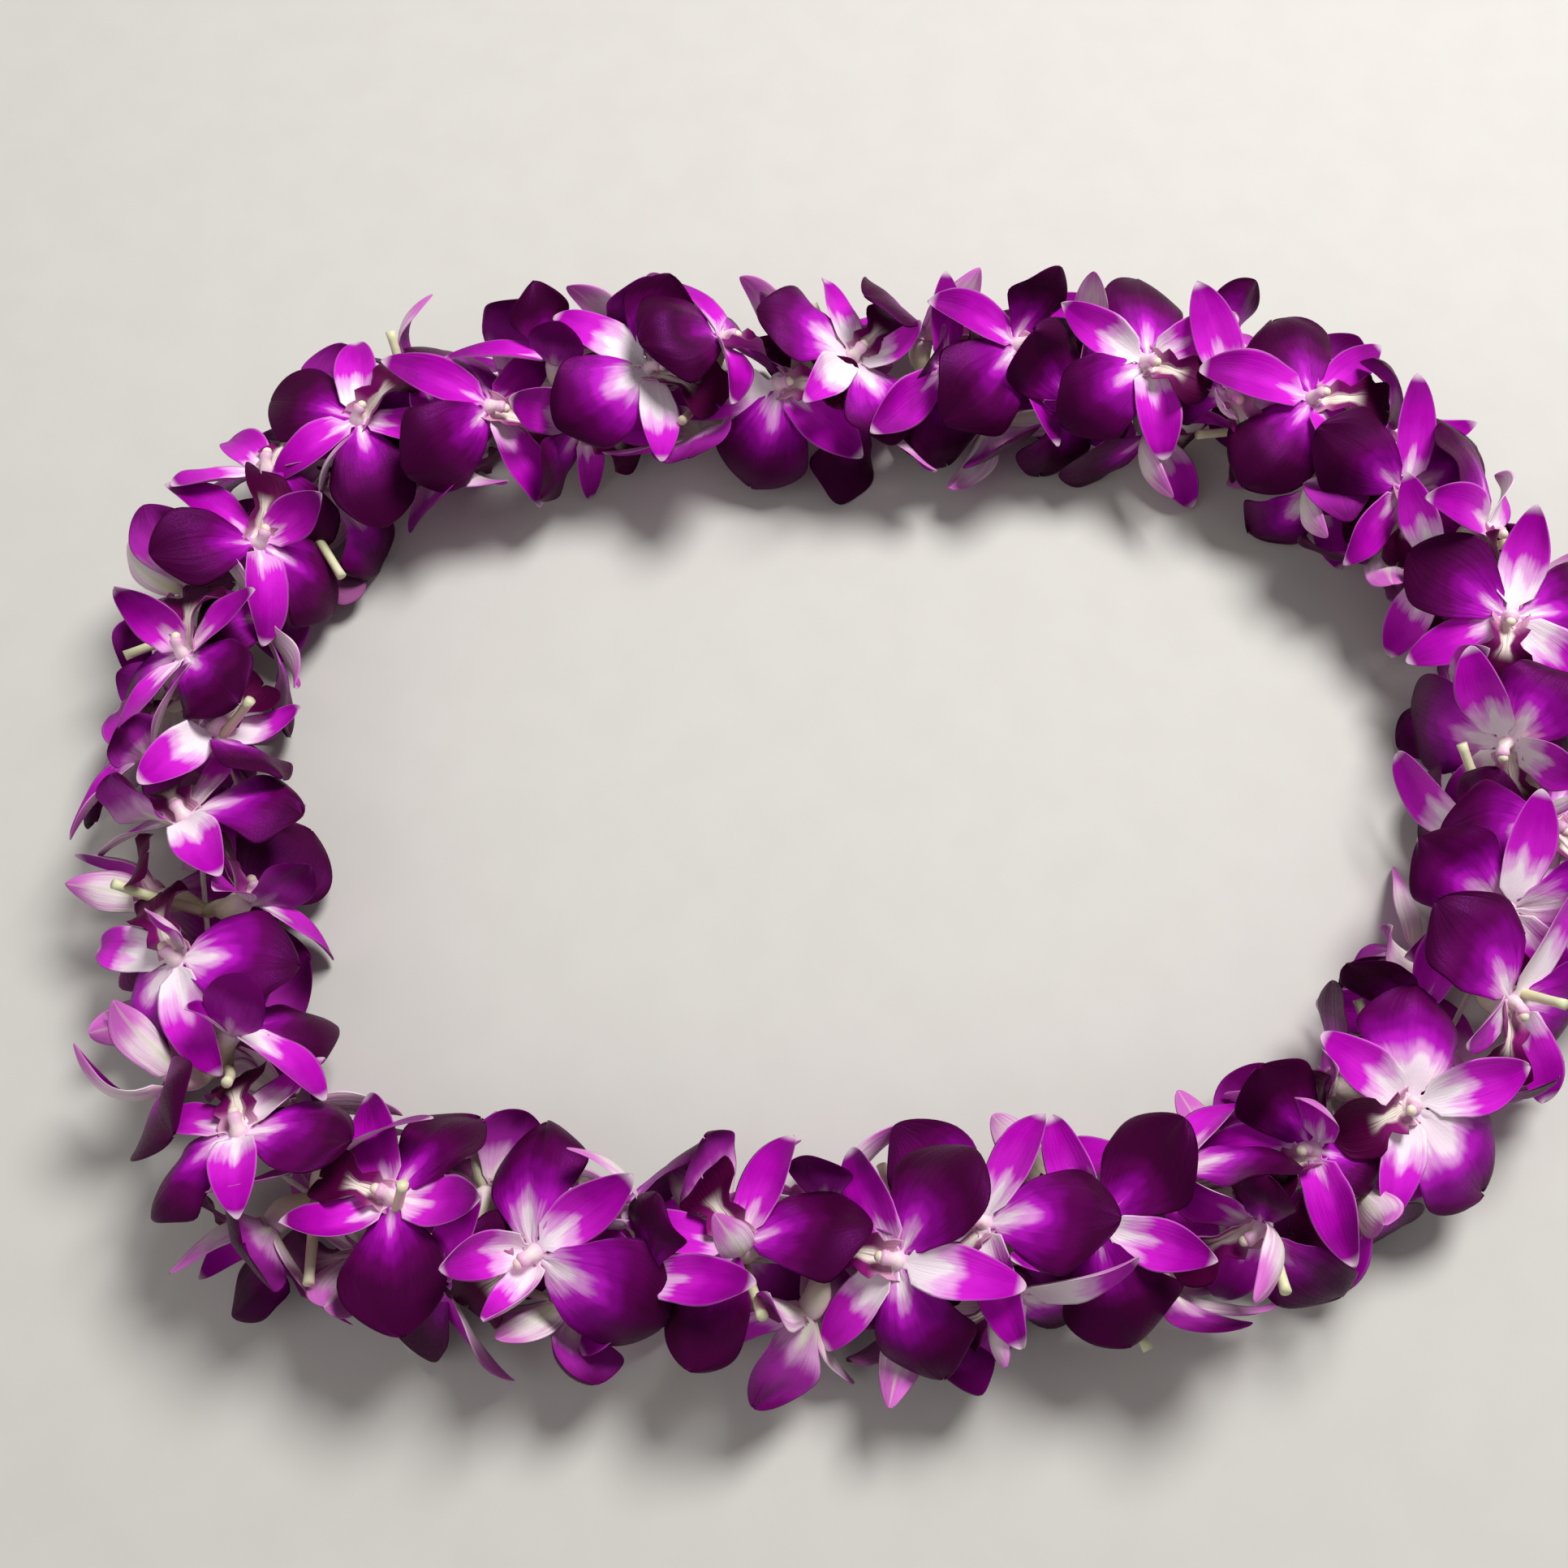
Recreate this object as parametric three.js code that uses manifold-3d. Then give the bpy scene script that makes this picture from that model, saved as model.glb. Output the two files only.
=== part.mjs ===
// A fresh orchid lei, laid flat in a ring: blossoms strung on one cotton thread, each a single body of
// two petals, three sepals, a lip, a column and a short neck that the thread pierces.
// Millimetres, +Z up. The origin is on the surface it lies on, under the middle of the ring.
import * as THREE from "three";
import Module from "manifold-3d";

const wasm = await Module();
wasm.setup();

// Driving dimensions of the string of blossoms
const bloomPairs = 48;
const bloomsPerNode = 2;
const bloomCount = bloomPairs * bloomsPerNode;
const threadHeight = 19;
const threadRadius = 0.7;
const threadSides = 4;
const collarHalfBore = 1.25;
const collarHalfWidth = 2.3;
const collarHalfLength = 2.3;
const heartDistance = 12.5;
const heartLag = 3;
const pairHalfStep = 2.6;
const garlandReach = 33;
const garlandTop = 48;
const floorDip = 0.5;

// The ring's run, counter-clockwise seen from above, as points that the thread passes through
const ringPoints = [
  [-103, -124], [-69, -131], [-22, -134], [25, -134], [72, -129], [112, -121], [148, -95], [171, -63],
  [184, -28], [188, 17], [175, 59], [145, 91], [108, 106], [53, 109], [-15, 108], [-92, 98],
  [-131, 76], [-151, 38], [-156, -2], [-149, -40], [-140, -80], [-128, -108],
];
const ringShift = [-17.77, 13.38];

// How the blossoms stand around the thread: angles in degrees, 90 is straight up, 0 is the ring's outside
const goldenTurn = 0.618034;
const aroundTop = 90;
const aroundHalfRange = 150;
const crowdTowardsTop = 1.35;
const faceTilt = 27;
const tiltSpread = 26;
const spinSpread = 60;
const rollSpread = 26;
const aroundSpread = 8;
const distanceSpread = 1;
const seed = 21;

// One blossom's sizes
const bladeThickness = 0.8;
const rootRadius = 3.2;
const notchAngles = [-32, 32, 98, 153, 207, 262];
const columnHeight = 6.5;
const columnLean = -2.2;
const chinDepth = 4.5;
const chinLean = -1.2;
const chinRadius = 3;
const chinAngles = [45, 135, 225, 315];

// Half widths along a lobe, as a share of its full width
function petalOutline(v) {
  return 0.5 * Math.sin(Math.PI * v ** 1.25) ** 0.6;
}
function sepalOutline(v) {
  return 0.5 * Math.sin(Math.PI * v ** 0.85);
}
function lipOutline(v) {
  return 0.5 * Math.sin(Math.PI * v ** 1.1) ** 0.5;
}

// The kinds of lobe: length and width, first pitch and bend in degrees, cup, the share of them that curl
// open, the outline, where along it the widest row is, and how many corners end it
const sepalShape = { cup: 0.1, curls: 0.22, outline: sepalOutline, widest: 0.46, ends: 1 };
const petalShape = { cup: 0.06, curls: 0.12, outline: petalOutline, widest: 0.5, ends: 2 };
const lipShape = { cup: 0.55, curls: 0, outline: lipOutline, widest: 0.5, ends: 2 };
const upperSepal = { ...sepalShape, length: 27, width: 12.5, pitch: 4, bend: -14 };
const sideSepal = { ...sepalShape, length: 25, width: 12, pitch: 12, bend: -8 };
const petal = { ...petalShape, length: 28, width: 25.5, pitch: 10, bend: -42 };
const lip = { ...lipShape, length: 18, width: 14, pitch: 50, bend: -70 };

// A blossom's lobes by their direction from the upper sepal, in degrees, and the order they are placed in
const lobes = [
  { ...upperSepal, turn: 0 },
  { ...petal, turn: 65 },
  { ...sideSepal, turn: 126 },
  { ...lip, turn: 180 },
  { ...sideSepal, turn: 234 },
  { ...petal, turn: 295 },
];
const placingOrder = [1, 5, 3, 0, 2, 4];
const bluntEnd = 0.92;
const pitchSpread = 9;
const bendSpread = 16;
const sizeSpread = 0.07;
const cupSpread = 0.5;
const twistSpread = 24;
const curledPitch = 42;
const curledBend = 75;

// What a lobe may do to lie clear of its neighbours, mildest first
const pitchSteps = [0, 8, -8, 16, -16, 25, -25, 35, -35, 47, -47, 60, -60, 76, -76];
const bendSteps = [0, 20, -20, 42, -42, 66, -66, 90, -90];
const swaySteps = [0, 12, -12, 22, -22];
const shorterSteps = [1, 0.88, 0.75, 0.6, 0.45, 0.32, 0.22];
const narrowing = 0.85;
const bendCost = 0.6;
const swayCost = 1.3;
const shorteningCost = 170;
const gapToOthers = 0.4;
const gapToOwn = 0.06;
const rootDrawnBack = 0.1;
const ownHeartShare = 0.85;
const steepestRoot = 68;

const degree = Math.PI / 180;
const quarterTurn = Math.PI / 2;

// Seeded draws, so that every build gives the same lei
let drawState = seed;
function draw() {
  drawState = (drawState + 0x6d2b79f5) | 0;
  let t = Math.imul(drawState ^ (drawState >>> 15), 1 | drawState);
  t = (t + Math.imul(t ^ (t >>> 7), 61 | t)) ^ t;
  return ((t ^ (t >>> 14)) >>> 0) / 4294967296;
}
function spread(amount) {
  return (draw() * 2 - 1) * amount;
}

// The thread's run: a smooth closed curve through the ring's points, measured along its length
const runSteps = 1200;
const runPoints = [];
const runLengths = [0];
function smoothBetween(a, b, c, d, t) {
  const start = (c - a) / 2;
  const end = (d - b) / 2;
  const bow = 2 * b - 2 * c + start + end;
  const lean = -3 * b + 3 * c - 2 * start - end;
  return ((bow * t + lean) * t + start) * t + b;
}
for (let i = 0; i <= runSteps; i++) {
  const place = (i / runSteps) * ringPoints.length;
  const first = Math.floor(place) % ringPoints.length;
  const near = [-1, 0, 1, 2].map((k) => ringPoints[(first + k + ringPoints.length) % ringPoints.length]);
  const t = place - Math.floor(place);
  const x = smoothBetween(near[0][0], near[1][0], near[2][0], near[3][0], t) + ringShift[0];
  const y = smoothBetween(near[0][1], near[1][1], near[2][1], near[3][1], t) + ringShift[1];
  runPoints.push(new THREE.Vector3(x, y, threadHeight));
  if (i > 0) runLengths.push(runLengths[i - 1] + runPoints[i].distanceTo(runPoints[i - 1]));
}
const runLength = runLengths[runSteps];
function threadPoint(distance) {
  const along = ((distance % runLength) + runLength) % runLength;
  let low = 0;
  let high = runSteps;
  while (high - low > 1) {
    const middle = (low + high) >> 1;
    if (runLengths[middle] <= along) low = middle;
    else high = middle;
  }
  const t = (along - runLengths[low]) / (runLengths[high] - runLengths[low]);
  return runPoints[low].clone().lerp(runPoints[high], t);
}
function threadDirection(distance) {
  return threadPoint(distance + 1).sub(threadPoint(distance - 1)).normalize();
}

// Where each blossom's heart is and how it faces
const up = new THREE.Vector3(0, 0, 1);
const pitchAlongThread = runLength / bloomCount;
function placeBloom(number) {
  const pair = Math.floor(number / bloomsPerNode);
  const knotAlong = (pair + 0.5) * bloomsPerNode * pitchAlongThread;
  const along = knotAlong - heartLag + ((number % bloomsPerNode) * 2 - 1) * pairHalfStep;
  const turnShare = (number * goldenTurn) % 1;
  const fromTop = 2 * turnShare - 1;
  const crowded = Math.sign(fromTop) * Math.abs(fromTop) ** crowdTowardsTop;
  const around = (aroundTop + crowded * aroundHalfRange + spread(aroundSpread)) * degree;
  const tilt = (faceTilt + spread(tiltSpread)) * degree;
  const spin = spread(spinSpread) * degree;
  const roll = spread(rollSpread) * degree;
  const distance = heartDistance + spread(distanceSpread);
  const size = 1 + spread(sizeSpread);
  const forward = threadDirection(along);
  const outside = forward.clone().cross(up);
  const out = outside.clone().multiplyScalar(Math.cos(around)).addScaledVector(up, Math.sin(around));
  const axis = out.clone().applyAxisAngle(out.clone().cross(forward).normalize(), -tilt);
  const dorsal = forward.clone().addScaledVector(axis, -forward.dot(axis)).normalize();
  dorsal.applyAxisAngle(axis, spin);
  axis.applyAxisAngle(dorsal, roll);
  const side = axis.clone().cross(dorsal);
  const heart = threadPoint(along).addScaledVector(out, distance);
  const foot = threadPoint(along);
  const knot = threadPoint(knotAlong);
  const height = Math.sin(around);
  return { number, pair, along, foot, forward, out, heart, axis, dorsal, side, knotAlong, knot, size, height };
}

// A lobe as it would grow, before it is bent clear: every value but the bends is drawn here
function growLobe(kind, size) {
  const curled = draw() < kind.curls ? 1 : 0;
  return {
    kind,
    turn: kind.turn,
    length: kind.length * size * (1 + spread(sizeSpread)),
    width: kind.width * size * (1 + spread(sizeSpread)),
    pitch: kind.pitch + spread(pitchSpread) + curled * curledPitch,
    bend: kind.bend + spread(bendSpread) + curled * curledBend,
    cup: kind.cup * (1 + spread(cupSpread)),
    twist: spread(twistSpread) * degree,
  };
}
function bendLobe(lobe, pitchStep, bendStep, sway, shorter) {
  const bend = lobe.bend + bendStep;
  return {
    ...lobe,
    turn: (lobe.turn + sway) * degree,
    length: lobe.length * shorter,
    width: lobe.width * shorter ** narrowing,
    pitch: (lobe.pitch + pitchStep) * degree,
    bend: (Math.abs(bend) < 1 ? 1 : bend) * degree,
  };
}

// A point of a lobe in its blossom's own axes: x to the upper sepal, z out of the face
function lobePoint(lobe, u, v) {
  const angle = lobe.pitch + lobe.bend * v;
  const reach = (lobe.length * (Math.sin(angle) - Math.sin(lobe.pitch))) / lobe.bend;
  const rise = (lobe.length * (Math.cos(lobe.pitch) - Math.cos(angle))) / lobe.bend;
  const radial = new THREE.Vector3(Math.cos(lobe.turn), Math.sin(lobe.turn), 0);
  const across = new THREE.Vector3(-Math.sin(lobe.turn), Math.cos(lobe.turn), 0);
  const normal = radial.clone().multiplyScalar(-Math.sin(angle)).addScaledVector(up, Math.cos(angle));
  const half = lobe.kind.outline(v) * lobe.width;
  const twist = lobe.twist * v;
  const point = radial.clone().multiplyScalar(rootRadius + reach).addScaledVector(up, rise);
  point.addScaledVector(across, u * half * Math.cos(twist));
  point.addScaledVector(normal, u * half * Math.sin(twist) + lobe.cup * u * u * half);
  return { point, normal };
}
function toWorld(bloom, local) {
  return bloom.heart.clone()
    .addScaledVector(bloom.dorsal, local.x)
    .addScaledVector(bloom.side, local.y)
    .addScaledVector(bloom.axis, local.z);
}

// The corner point between neighbouring lobes, on the blossom's front or back
function notch(bloom, index, face, radius = rootRadius) {
  const angle = notchAngles[(index + notchAngles.length) % notchAngles.length] * degree;
  const local = new THREE.Vector3(Math.cos(angle) * radius, Math.sin(angle) * radius, face * bladeThickness);
  return toWorld(bloom, local);
}

// The lobe's points beyond its root, row by row: front ones and back ones alike
function lobeRows(bloom, lobe) {
  const widest = [-1, 0, 1].map((u) => [u, lobe.kind.widest]);
  const end = lobe.kind.ends === 2 ? [[-1, bluntEnd], [1, bluntEnd]] : [[0, 1]];
  return [widest, end].map((row) => row.map(([u, v]) => {
    const { point, normal } = lobePoint(lobe, u, v);
    const front = point.clone().addScaledVector(normal, bladeThickness / 2);
    const back = point.clone().addScaledVector(normal, -bladeThickness / 2);
    return [toWorld(bloom, front), toWorld(bloom, back)];
  }));
}

// Triangles between two rows of a blade, seen from the front
function joinRows(a, b) {
  if (a.length === 2 && b.length === 3) return [[a[0], b[0], b[1]], [a[0], b[1], a[1]], [a[1], b[1], b[2]]];
  if (a.length === 3 && b.length === 2) return [[a[0], b[0], a[1]], [a[1], b[0], b[1]], [a[1], b[1], a[2]]];
  return [[a[0], b[0], a[1]], [a[1], b[0], a[2]]];
}

// A growing list of shared vertices and triangles
class Skin {
  vertices = [];
  triangles = [];
  add(point) {
    this.vertices.push(point);
    return this.vertices.length - 1;
  }
  // A blade between its front and back points: both faces with the same triangles, and the edge between
  addBlade(rows) {
    for (let r = 1; r < rows.length; r++) {
      for (const [a, b, c] of joinRows(rows[r - 1], rows[r])) {
        this.triangles.push([a[0], b[0], c[0]], [a[1], c[1], b[1]]);
      }
    }
    const edge = rows.map((row) => row[0]);
    edge.push(...rows.map((row) => row[row.length - 1]).reverse());
    this.addWall(edge.filter((corner, i) => i === 0 || corner !== edge[i - 1]));
  }
  addWall(edge) {
    for (let i = 1; i < edge.length; i++) {
      const [p, q] = [edge[i - 1], edge[i]];
      this.triangles.push([p[1], q[1], q[0]], [p[1], q[0], p[0]]);
    }
  }
  // The wall between two rings of any two counts, stitched evenly from the two corners most in line
  addBridge(lower, upper) {
    const middle = (ring) => ring.reduce((sum, i) => sum.add(this.vertices[i]), new THREE.Vector3())
      .divideScalar(ring.length);
    const shift = middle(upper).sub(middle(lower));
    const apart = (a, b) => this.vertices[a].clone().add(shift).distanceTo(this.vertices[b]);
    const starts = lower.flatMap((a, i) => upper.map((b, j) => ({ i, j, gap: apart(a, b) })));
    const start = starts.reduce((best, pair) => (pair.gap < best.gap ? pair : best));
    let [i, j] = [0, 0];
    while (i < lower.length || j < upper.length) {
      const [a, nextA] = [0, 1].map((k) => lower[(start.i + i + k) % lower.length]);
      const [b, nextB] = [0, 1].map((k) => upper[(start.j + j + k) % upper.length]);
      const lowerBehind = (i + 0.5) / lower.length < (j + 0.5) / upper.length;
      if (j === upper.length || (i < lower.length && lowerBehind)) {
        this.triangles.push([a, nextA, b]);
        i++;
      } else {
        this.triangles.push([a, nextB, b]);
        j++;
      }
    }
  }
  // The wall between two rings of one count, which run counter-clockwise seen from the upper one
  addTube(lower, upper) {
    for (let i = 0; i < lower.length; i++) {
      const j = (i + 1) % lower.length;
      this.triangles.push([lower[i], lower[j], upper[j]], [lower[i], upper[j], upper[i]]);
    }
  }
  solid() {
    const vertProperties = new Float32Array(this.vertices.flatMap((p) => [p.x, p.y, p.z]));
    const triVerts = new Uint32Array(this.triangles.flat());
    return new wasm.Manifold(new wasm.Mesh({ numProp: 3, vertProperties, triVerts }));
  }
}

// The column in front and the neck behind, which runs by the chin to one face of the collar
function addHeart(skin, bloom, fronts, backs, seat) {
  const tip = skin.add(toWorld(bloom, new THREE.Vector3(columnLean, 0, columnHeight)));
  for (let i = 0; i < fronts.length; i++) {
    skin.triangles.push([fronts[i], fronts[(i + 1) % fronts.length], tip]);
  }
  const centre = toWorld(bloom, new THREE.Vector3(chinLean, 0, -chinDepth));
  const outward = centre.clone().sub(bloom.knot).normalize().add(bloom.axis).normalize();
  const across = bloom.dorsal.clone().addScaledVector(outward, -bloom.dorsal.dot(outward)).normalize();
  const aside = outward.clone().cross(across);
  const chin = chinAngles.map((angle) => skin.add(centre.clone()
    .addScaledVector(across, chinRadius * Math.cos(angle * degree))
    .addScaledVector(aside, chinRadius * Math.sin(angle * degree))));
  skin.addBridge(chin, backs);
  skin.addBridge(seat, chin);
}
function heartSolid(bloom, collar, radius) {
  const skin = new Skin();
  const ring = (face) => notchAngles.map((_, i) => skin.add(notch(bloom, i, face, radius)));
  const [fronts, backs] = [ring(0.5), ring(-0.5)];
  skin.addTube(backs, fronts);
  const seat = collar.face(collar.faceTowards(bloom.out)).map((point) => skin.add(point));
  addHeart(skin, bloom, fronts, backs, seat);
  skin.triangles.push([seat[0], seat[2], seat[1]], [seat[0], seat[3], seat[2]]);
  return skin.solid();
}

// Where a pair's two necks grow together: a short square collar round the thread, turned so that both
// blossoms stand over a face. Corners are numbered round the thread, and each face lies between two of them.
class Collar {
  constructor(bloom, partner) {
    this.centre = bloom.knot;
    this.forward = threadDirection(bloom.knotAlong);
    const first = bloom.out.clone().addScaledVector(this.forward, -bloom.out.dot(this.forward)).normalize();
    const across = this.forward.clone().cross(first);
    const between = Math.atan2(partner.out.dot(across), partner.out.dot(first));
    const misfit = between - Math.round(between / quarterTurn) * quarterTurn;
    first.applyAxisAngle(this.forward, misfit / 2);
    const second = this.forward.clone().cross(first);
    this.normals = [first, second, first.clone().negate(), second.clone().negate()];
  }
  corner(index, half, ahead) {
    return this.centre.clone()
      .addScaledVector(this.normals[index % 4], half)
      .addScaledVector(this.normals[(index + 1) % 4], half)
      .addScaledVector(this.forward, ahead);
  }
  // A face's corners, counter-clockwise seen from outside
  face(index) {
    const [before, after] = [(index + 3) % 4, index];
    return [[before, -1], [after, -1], [after, 1], [before, 1]]
      .map(([corner, side]) => this.corner(corner, collarHalfWidth, side * collarHalfLength));
  }
  faceTowards(direction) {
    const shares = this.normals.map((normal) => normal.dot(direction));
    return shares.indexOf(Math.max(...shares));
  }
}
function collarSolid(collar) {
  const skin = new Skin();
  const ring = (half, ahead) => [0, 1, 2, 3].map((index) => skin.add(collar.corner(index, half, ahead)));
  const outerBack = ring(collarHalfWidth, -collarHalfLength);
  const outerFront = ring(collarHalfWidth, collarHalfLength);
  const innerBack = ring(collarHalfBore, -collarHalfLength);
  const innerFront = ring(collarHalfBore, collarHalfLength);
  skin.addTube(outerBack, outerFront);
  skin.addTube(outerFront, innerFront);
  skin.addTube(innerFront, innerBack);
  skin.addTube(innerBack, outerBack);
  return skin.solid();
}

// A lobe on its own, from the edge it shares with the heart, or drawn back from it to see what it would cross
function lobeSolid(bloom, lobe, index, drawnBack) {
  const skin = new Skin();
  const rows = lobeRows(bloom, lobe);
  const root = [0, 1].map((k) => [notch(bloom, index + k, 0.5), notch(bloom, index + k, -0.5)]);
  const drawn = root.map((pair, k) => pair.map((point, face) => point.clone()
    .lerp(root[1 - k][face], drawnBack)
    .lerp(rows[0][1][face], drawnBack)));
  const blade = [drawn, ...rows].map((row) => row.map((pair) => pair.map((point) => skin.add(point))));
  skin.addBlade(blade);
  skin.addWall([blade[0][1], blade[0][0]]);
  return skin.solid();
}

// A pair of blossoms and their collar, joined into one body
function pairOf(pair) {
  return blooms.slice(pair * bloomsPerNode, (pair + 1) * bloomsPerNode);
}
function pairSolid(pair) {
  const pieces = pairOf(pair).flatMap((bloom) => [
    heartSolid(bloom, collars[pair], rootRadius),
    ...bent[bloom.number].flatMap((lobe, index) => (lobe ? [lobeSolid(bloom, lobe, index, 0)] : [])),
  ]);
  const joined = pieces.reduce((whole, piece) => whole.add(piece), collarSolid(collars[pair]));
  const bodies = joined.trimByPlane([0, 0, 1], 0).decompose();
  return bodies.reduce((largest, body) => (body.volume() > largest.volume() ? body : largest));
}

// The thread, which runs right round through every collar
function threadSolid() {
  const steps = bloomPairs * 2;
  const skin = new Skin();
  const rings = [];
  for (let i = 0; i < steps; i++) {
    const distance = (i + 1) * pitchAlongThread;
    const centre = threadPoint(distance);
    const outside = threadDirection(distance).cross(up);
    const ring = [];
    for (let k = 0; k < threadSides; k++) {
      const angle = (k / threadSides) * 2 * Math.PI;
      const point = centre.clone().addScaledVector(outside, threadRadius * Math.cos(angle));
      ring.push(skin.add(point.addScaledVector(up, threadRadius * Math.sin(angle))));
    }
    rings.push(ring);
  }
  rings.forEach((ring, i) => skin.addTube(rings[(i + 1) % steps], ring));
  return skin.solid();
}

// Bending clear: each lobe takes the mildest bend that keeps it off everything placed before it
const placed = [];
function boxesNear(a, b, gap) {
  return [0, 1, 2].every((k) => a.min[k] - gap < b.max[k] && b.min[k] - gap < a.max[k]);
}
function keepPlaced(whole, drawn, owner) {
  placed.push({ whole, drawn, box: whole.boundingBox(), owner });
}
function liesClear(whole, drawn, owner) {
  const box = whole.boundingBox();
  if (box.min[2] < -floorDip || box.max[2] > garlandTop) return false;
  return placed.every((other) => {
    const gap = other.owner === owner ? gapToOwn : gapToOthers;
    if (!boxesNear(box, other.box, gap)) return true;
    if (other.owner === owner) return drawn.minGap(other.drawn, gap) >= gap;
    return whole.minGap(other.whole, gap) >= gap;
  });
}
function withinReach(bloom, lobe) {
  return lobeRows(bloom, lobe).flat(2).every((tip) => {
    const ahead = tip.clone().sub(bloom.foot).dot(bloom.forward);
    return tip.distanceTo(threadPoint(bloom.along + ahead)) <= garlandReach;
  });
}
const bends = [];
for (const shorter of shorterSteps) {
  for (const pitch of pitchSteps) {
    for (const bend of bendSteps) {
      for (const sway of swaySteps) {
        const angles = Math.abs(pitch) + bendCost * Math.abs(bend) + swayCost * Math.abs(sway);
        bends.push({ pitch, bend, sway, shorter, cost: angles + shorteningCost * (1 - shorter) });
      }
    }
  }
}
bends.sort((a, b) => a.cost - b.cost);

function isSteep(lobe) {
  return Math.abs(lobe.pitch + lobe.bend / 4) > steepestRoot * degree;
}
// The lobe as it lies clear, or null for one that fits nowhere and is left off
function bendClear(bloom, lobe, index) {
  for (const { pitch, bend, sway, shorter } of bends) {
    const tried = bendLobe(lobe, pitch, bend, sway, shorter);
    if (isSteep(tried) || !withinReach(bloom, tried)) continue;
    const whole = lobeSolid(bloom, tried, index, 0);
    const drawn = lobeSolid(bloom, tried, index, rootDrawnBack);
    if (liesClear(whole, drawn, bloom)) {
      keepPlaced(whole, drawn, bloom);
      return tried;
    }
    whole.delete();
    drawn.delete();
  }
  return null;
}

const blooms = Array.from({ length: bloomCount }, (_, number) => placeBloom(number));
const grown = blooms.map((bloom) => lobes.map((kind) => growLobe(kind, bloom.size)));
const thread = threadSolid();
keepPlaced(thread, thread, null);
const collars = Array.from({ length: bloomPairs }, (_, pair) => new Collar(...pairOf(pair)));
for (const collar of collars) keepPlaced(collarSolid(collar), collarSolid(collar), null);
for (const bloom of blooms) {
  const whole = heartSolid(bloom, collars[bloom.pair], rootRadius);
  const drawn = heartSolid(bloom, collars[bloom.pair], rootRadius * ownHeartShare);
  keepPlaced(whole, drawn, bloom);
}
const bent = blooms.map(() => []);
const topFirst = [...blooms].sort((a, b) => b.height - a.height);
for (const bloom of topFirst) {
  for (const index of placingOrder) {
    bent[bloom.number][index] = bendClear(bloom, grown[bloom.number][index], index);
  }
}

const plum = new THREE.MeshStandardMaterial({ color: 0x7d0a78, roughness: 0.55, metalness: 0 });
const cotton = new THREE.MeshStandardMaterial({ color: 0xe9e4d6, roughness: 0.9, metalness: 0 });
function meshFrom(name, solid, material) {
  const mesh = solid.getMesh();
  const geometry = new THREE.BufferGeometry();
  geometry.setAttribute("position", new THREE.BufferAttribute(new Float32Array(mesh.vertProperties), 3));
  geometry.setIndex([...mesh.triVerts]);
  const node = new THREE.Mesh(geometry, material);
  node.name = name;
  return node;
}
const lei = new THREE.Group();
lei.name = "fresh_orchid_lei";
lei.add(meshFrom("thread", thread, cotton));
for (let pair = 0; pair < bloomPairs; pair++) {
  lei.add(meshFrom(`blossoms_${String(pair + 1).padStart(2, "0")}`, pairSolid(pair), plum));
}
export default lei;
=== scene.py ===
"""A fresh orchid lei lying flat in a ring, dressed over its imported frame.

The blossoms are placed by the rule and the draws that placed the frame's solids, in millimetres, and the
bend that each lobe took there is read back from the frame. Each one gets fine petals, sepals, a lip, a
column and a neck in place of its plain solid. The thread gets its twist, and a few cut stalks stand out.
"""

import math
from types import SimpleNamespace

import bpy
import numpy as np
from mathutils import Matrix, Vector
from mathutils.bvhtree import BVHTree


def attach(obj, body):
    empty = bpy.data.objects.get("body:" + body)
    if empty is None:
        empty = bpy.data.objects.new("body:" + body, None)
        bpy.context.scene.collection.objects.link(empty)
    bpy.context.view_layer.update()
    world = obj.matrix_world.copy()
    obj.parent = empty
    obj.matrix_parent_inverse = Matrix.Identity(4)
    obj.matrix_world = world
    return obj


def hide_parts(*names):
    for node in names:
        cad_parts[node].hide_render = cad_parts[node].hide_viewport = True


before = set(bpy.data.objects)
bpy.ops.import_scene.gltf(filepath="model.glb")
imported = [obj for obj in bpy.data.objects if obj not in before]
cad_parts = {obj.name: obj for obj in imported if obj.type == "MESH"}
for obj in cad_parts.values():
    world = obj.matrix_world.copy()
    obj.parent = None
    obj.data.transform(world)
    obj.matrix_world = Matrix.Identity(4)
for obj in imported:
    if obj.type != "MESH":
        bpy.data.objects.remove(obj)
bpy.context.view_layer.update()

MM = 0.001
DEGREE = math.pi / 180
FULL_TURN = 2 * math.pi
UP = np.array([0.0, 0.0, 1.0])
SHORTEST = 1e-9

# The string of blossoms, in millimetres
BLOOM_PAIRS = 48
BLOOMS_PER_NODE = 2
BLOOM_COUNT = BLOOM_PAIRS * BLOOMS_PER_NODE
THREAD_HEIGHT = 19
THREAD_RADIUS = 0.7
HEART_DISTANCE = 12.5
HEART_LAG = 3
PAIR_HALF_STEP = 2.6

# The ring's run, counter-clockwise seen from above, as points that the thread passes through
RING_POINTS = [
    (-103, -124), (-69, -131), (-22, -134), (25, -134), (72, -129), (112, -121), (148, -95), (171, -63),
    (184, -28), (188, 17), (175, 59), (145, 91), (108, 106), (53, 109), (-15, 108), (-92, 98),
    (-131, 76), (-151, 38), (-156, -2), (-149, -40), (-140, -80), (-128, -108),
]
RING_SHIFT = (-17.77, 13.38)
RUN_STEPS = 1200

# How the blossoms stand around the thread: angles in degrees, 90 is straight up, 0 is the ring's outside
GOLDEN_TURN = 0.618034
AROUND_TOP = 90
AROUND_HALF_RANGE = 150
CROWD_TOWARDS_TOP = 1.35
FACE_TILT = 27
TILT_SPREAD = 26
SPIN_SPREAD = 60
ROLL_SPREAD = 26
AROUND_SPREAD = 8
DISTANCE_SPREAD = 1
SEED = 21
LOBE_SEED = SEED + 100
STALK_SEED = SEED + 200

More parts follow.
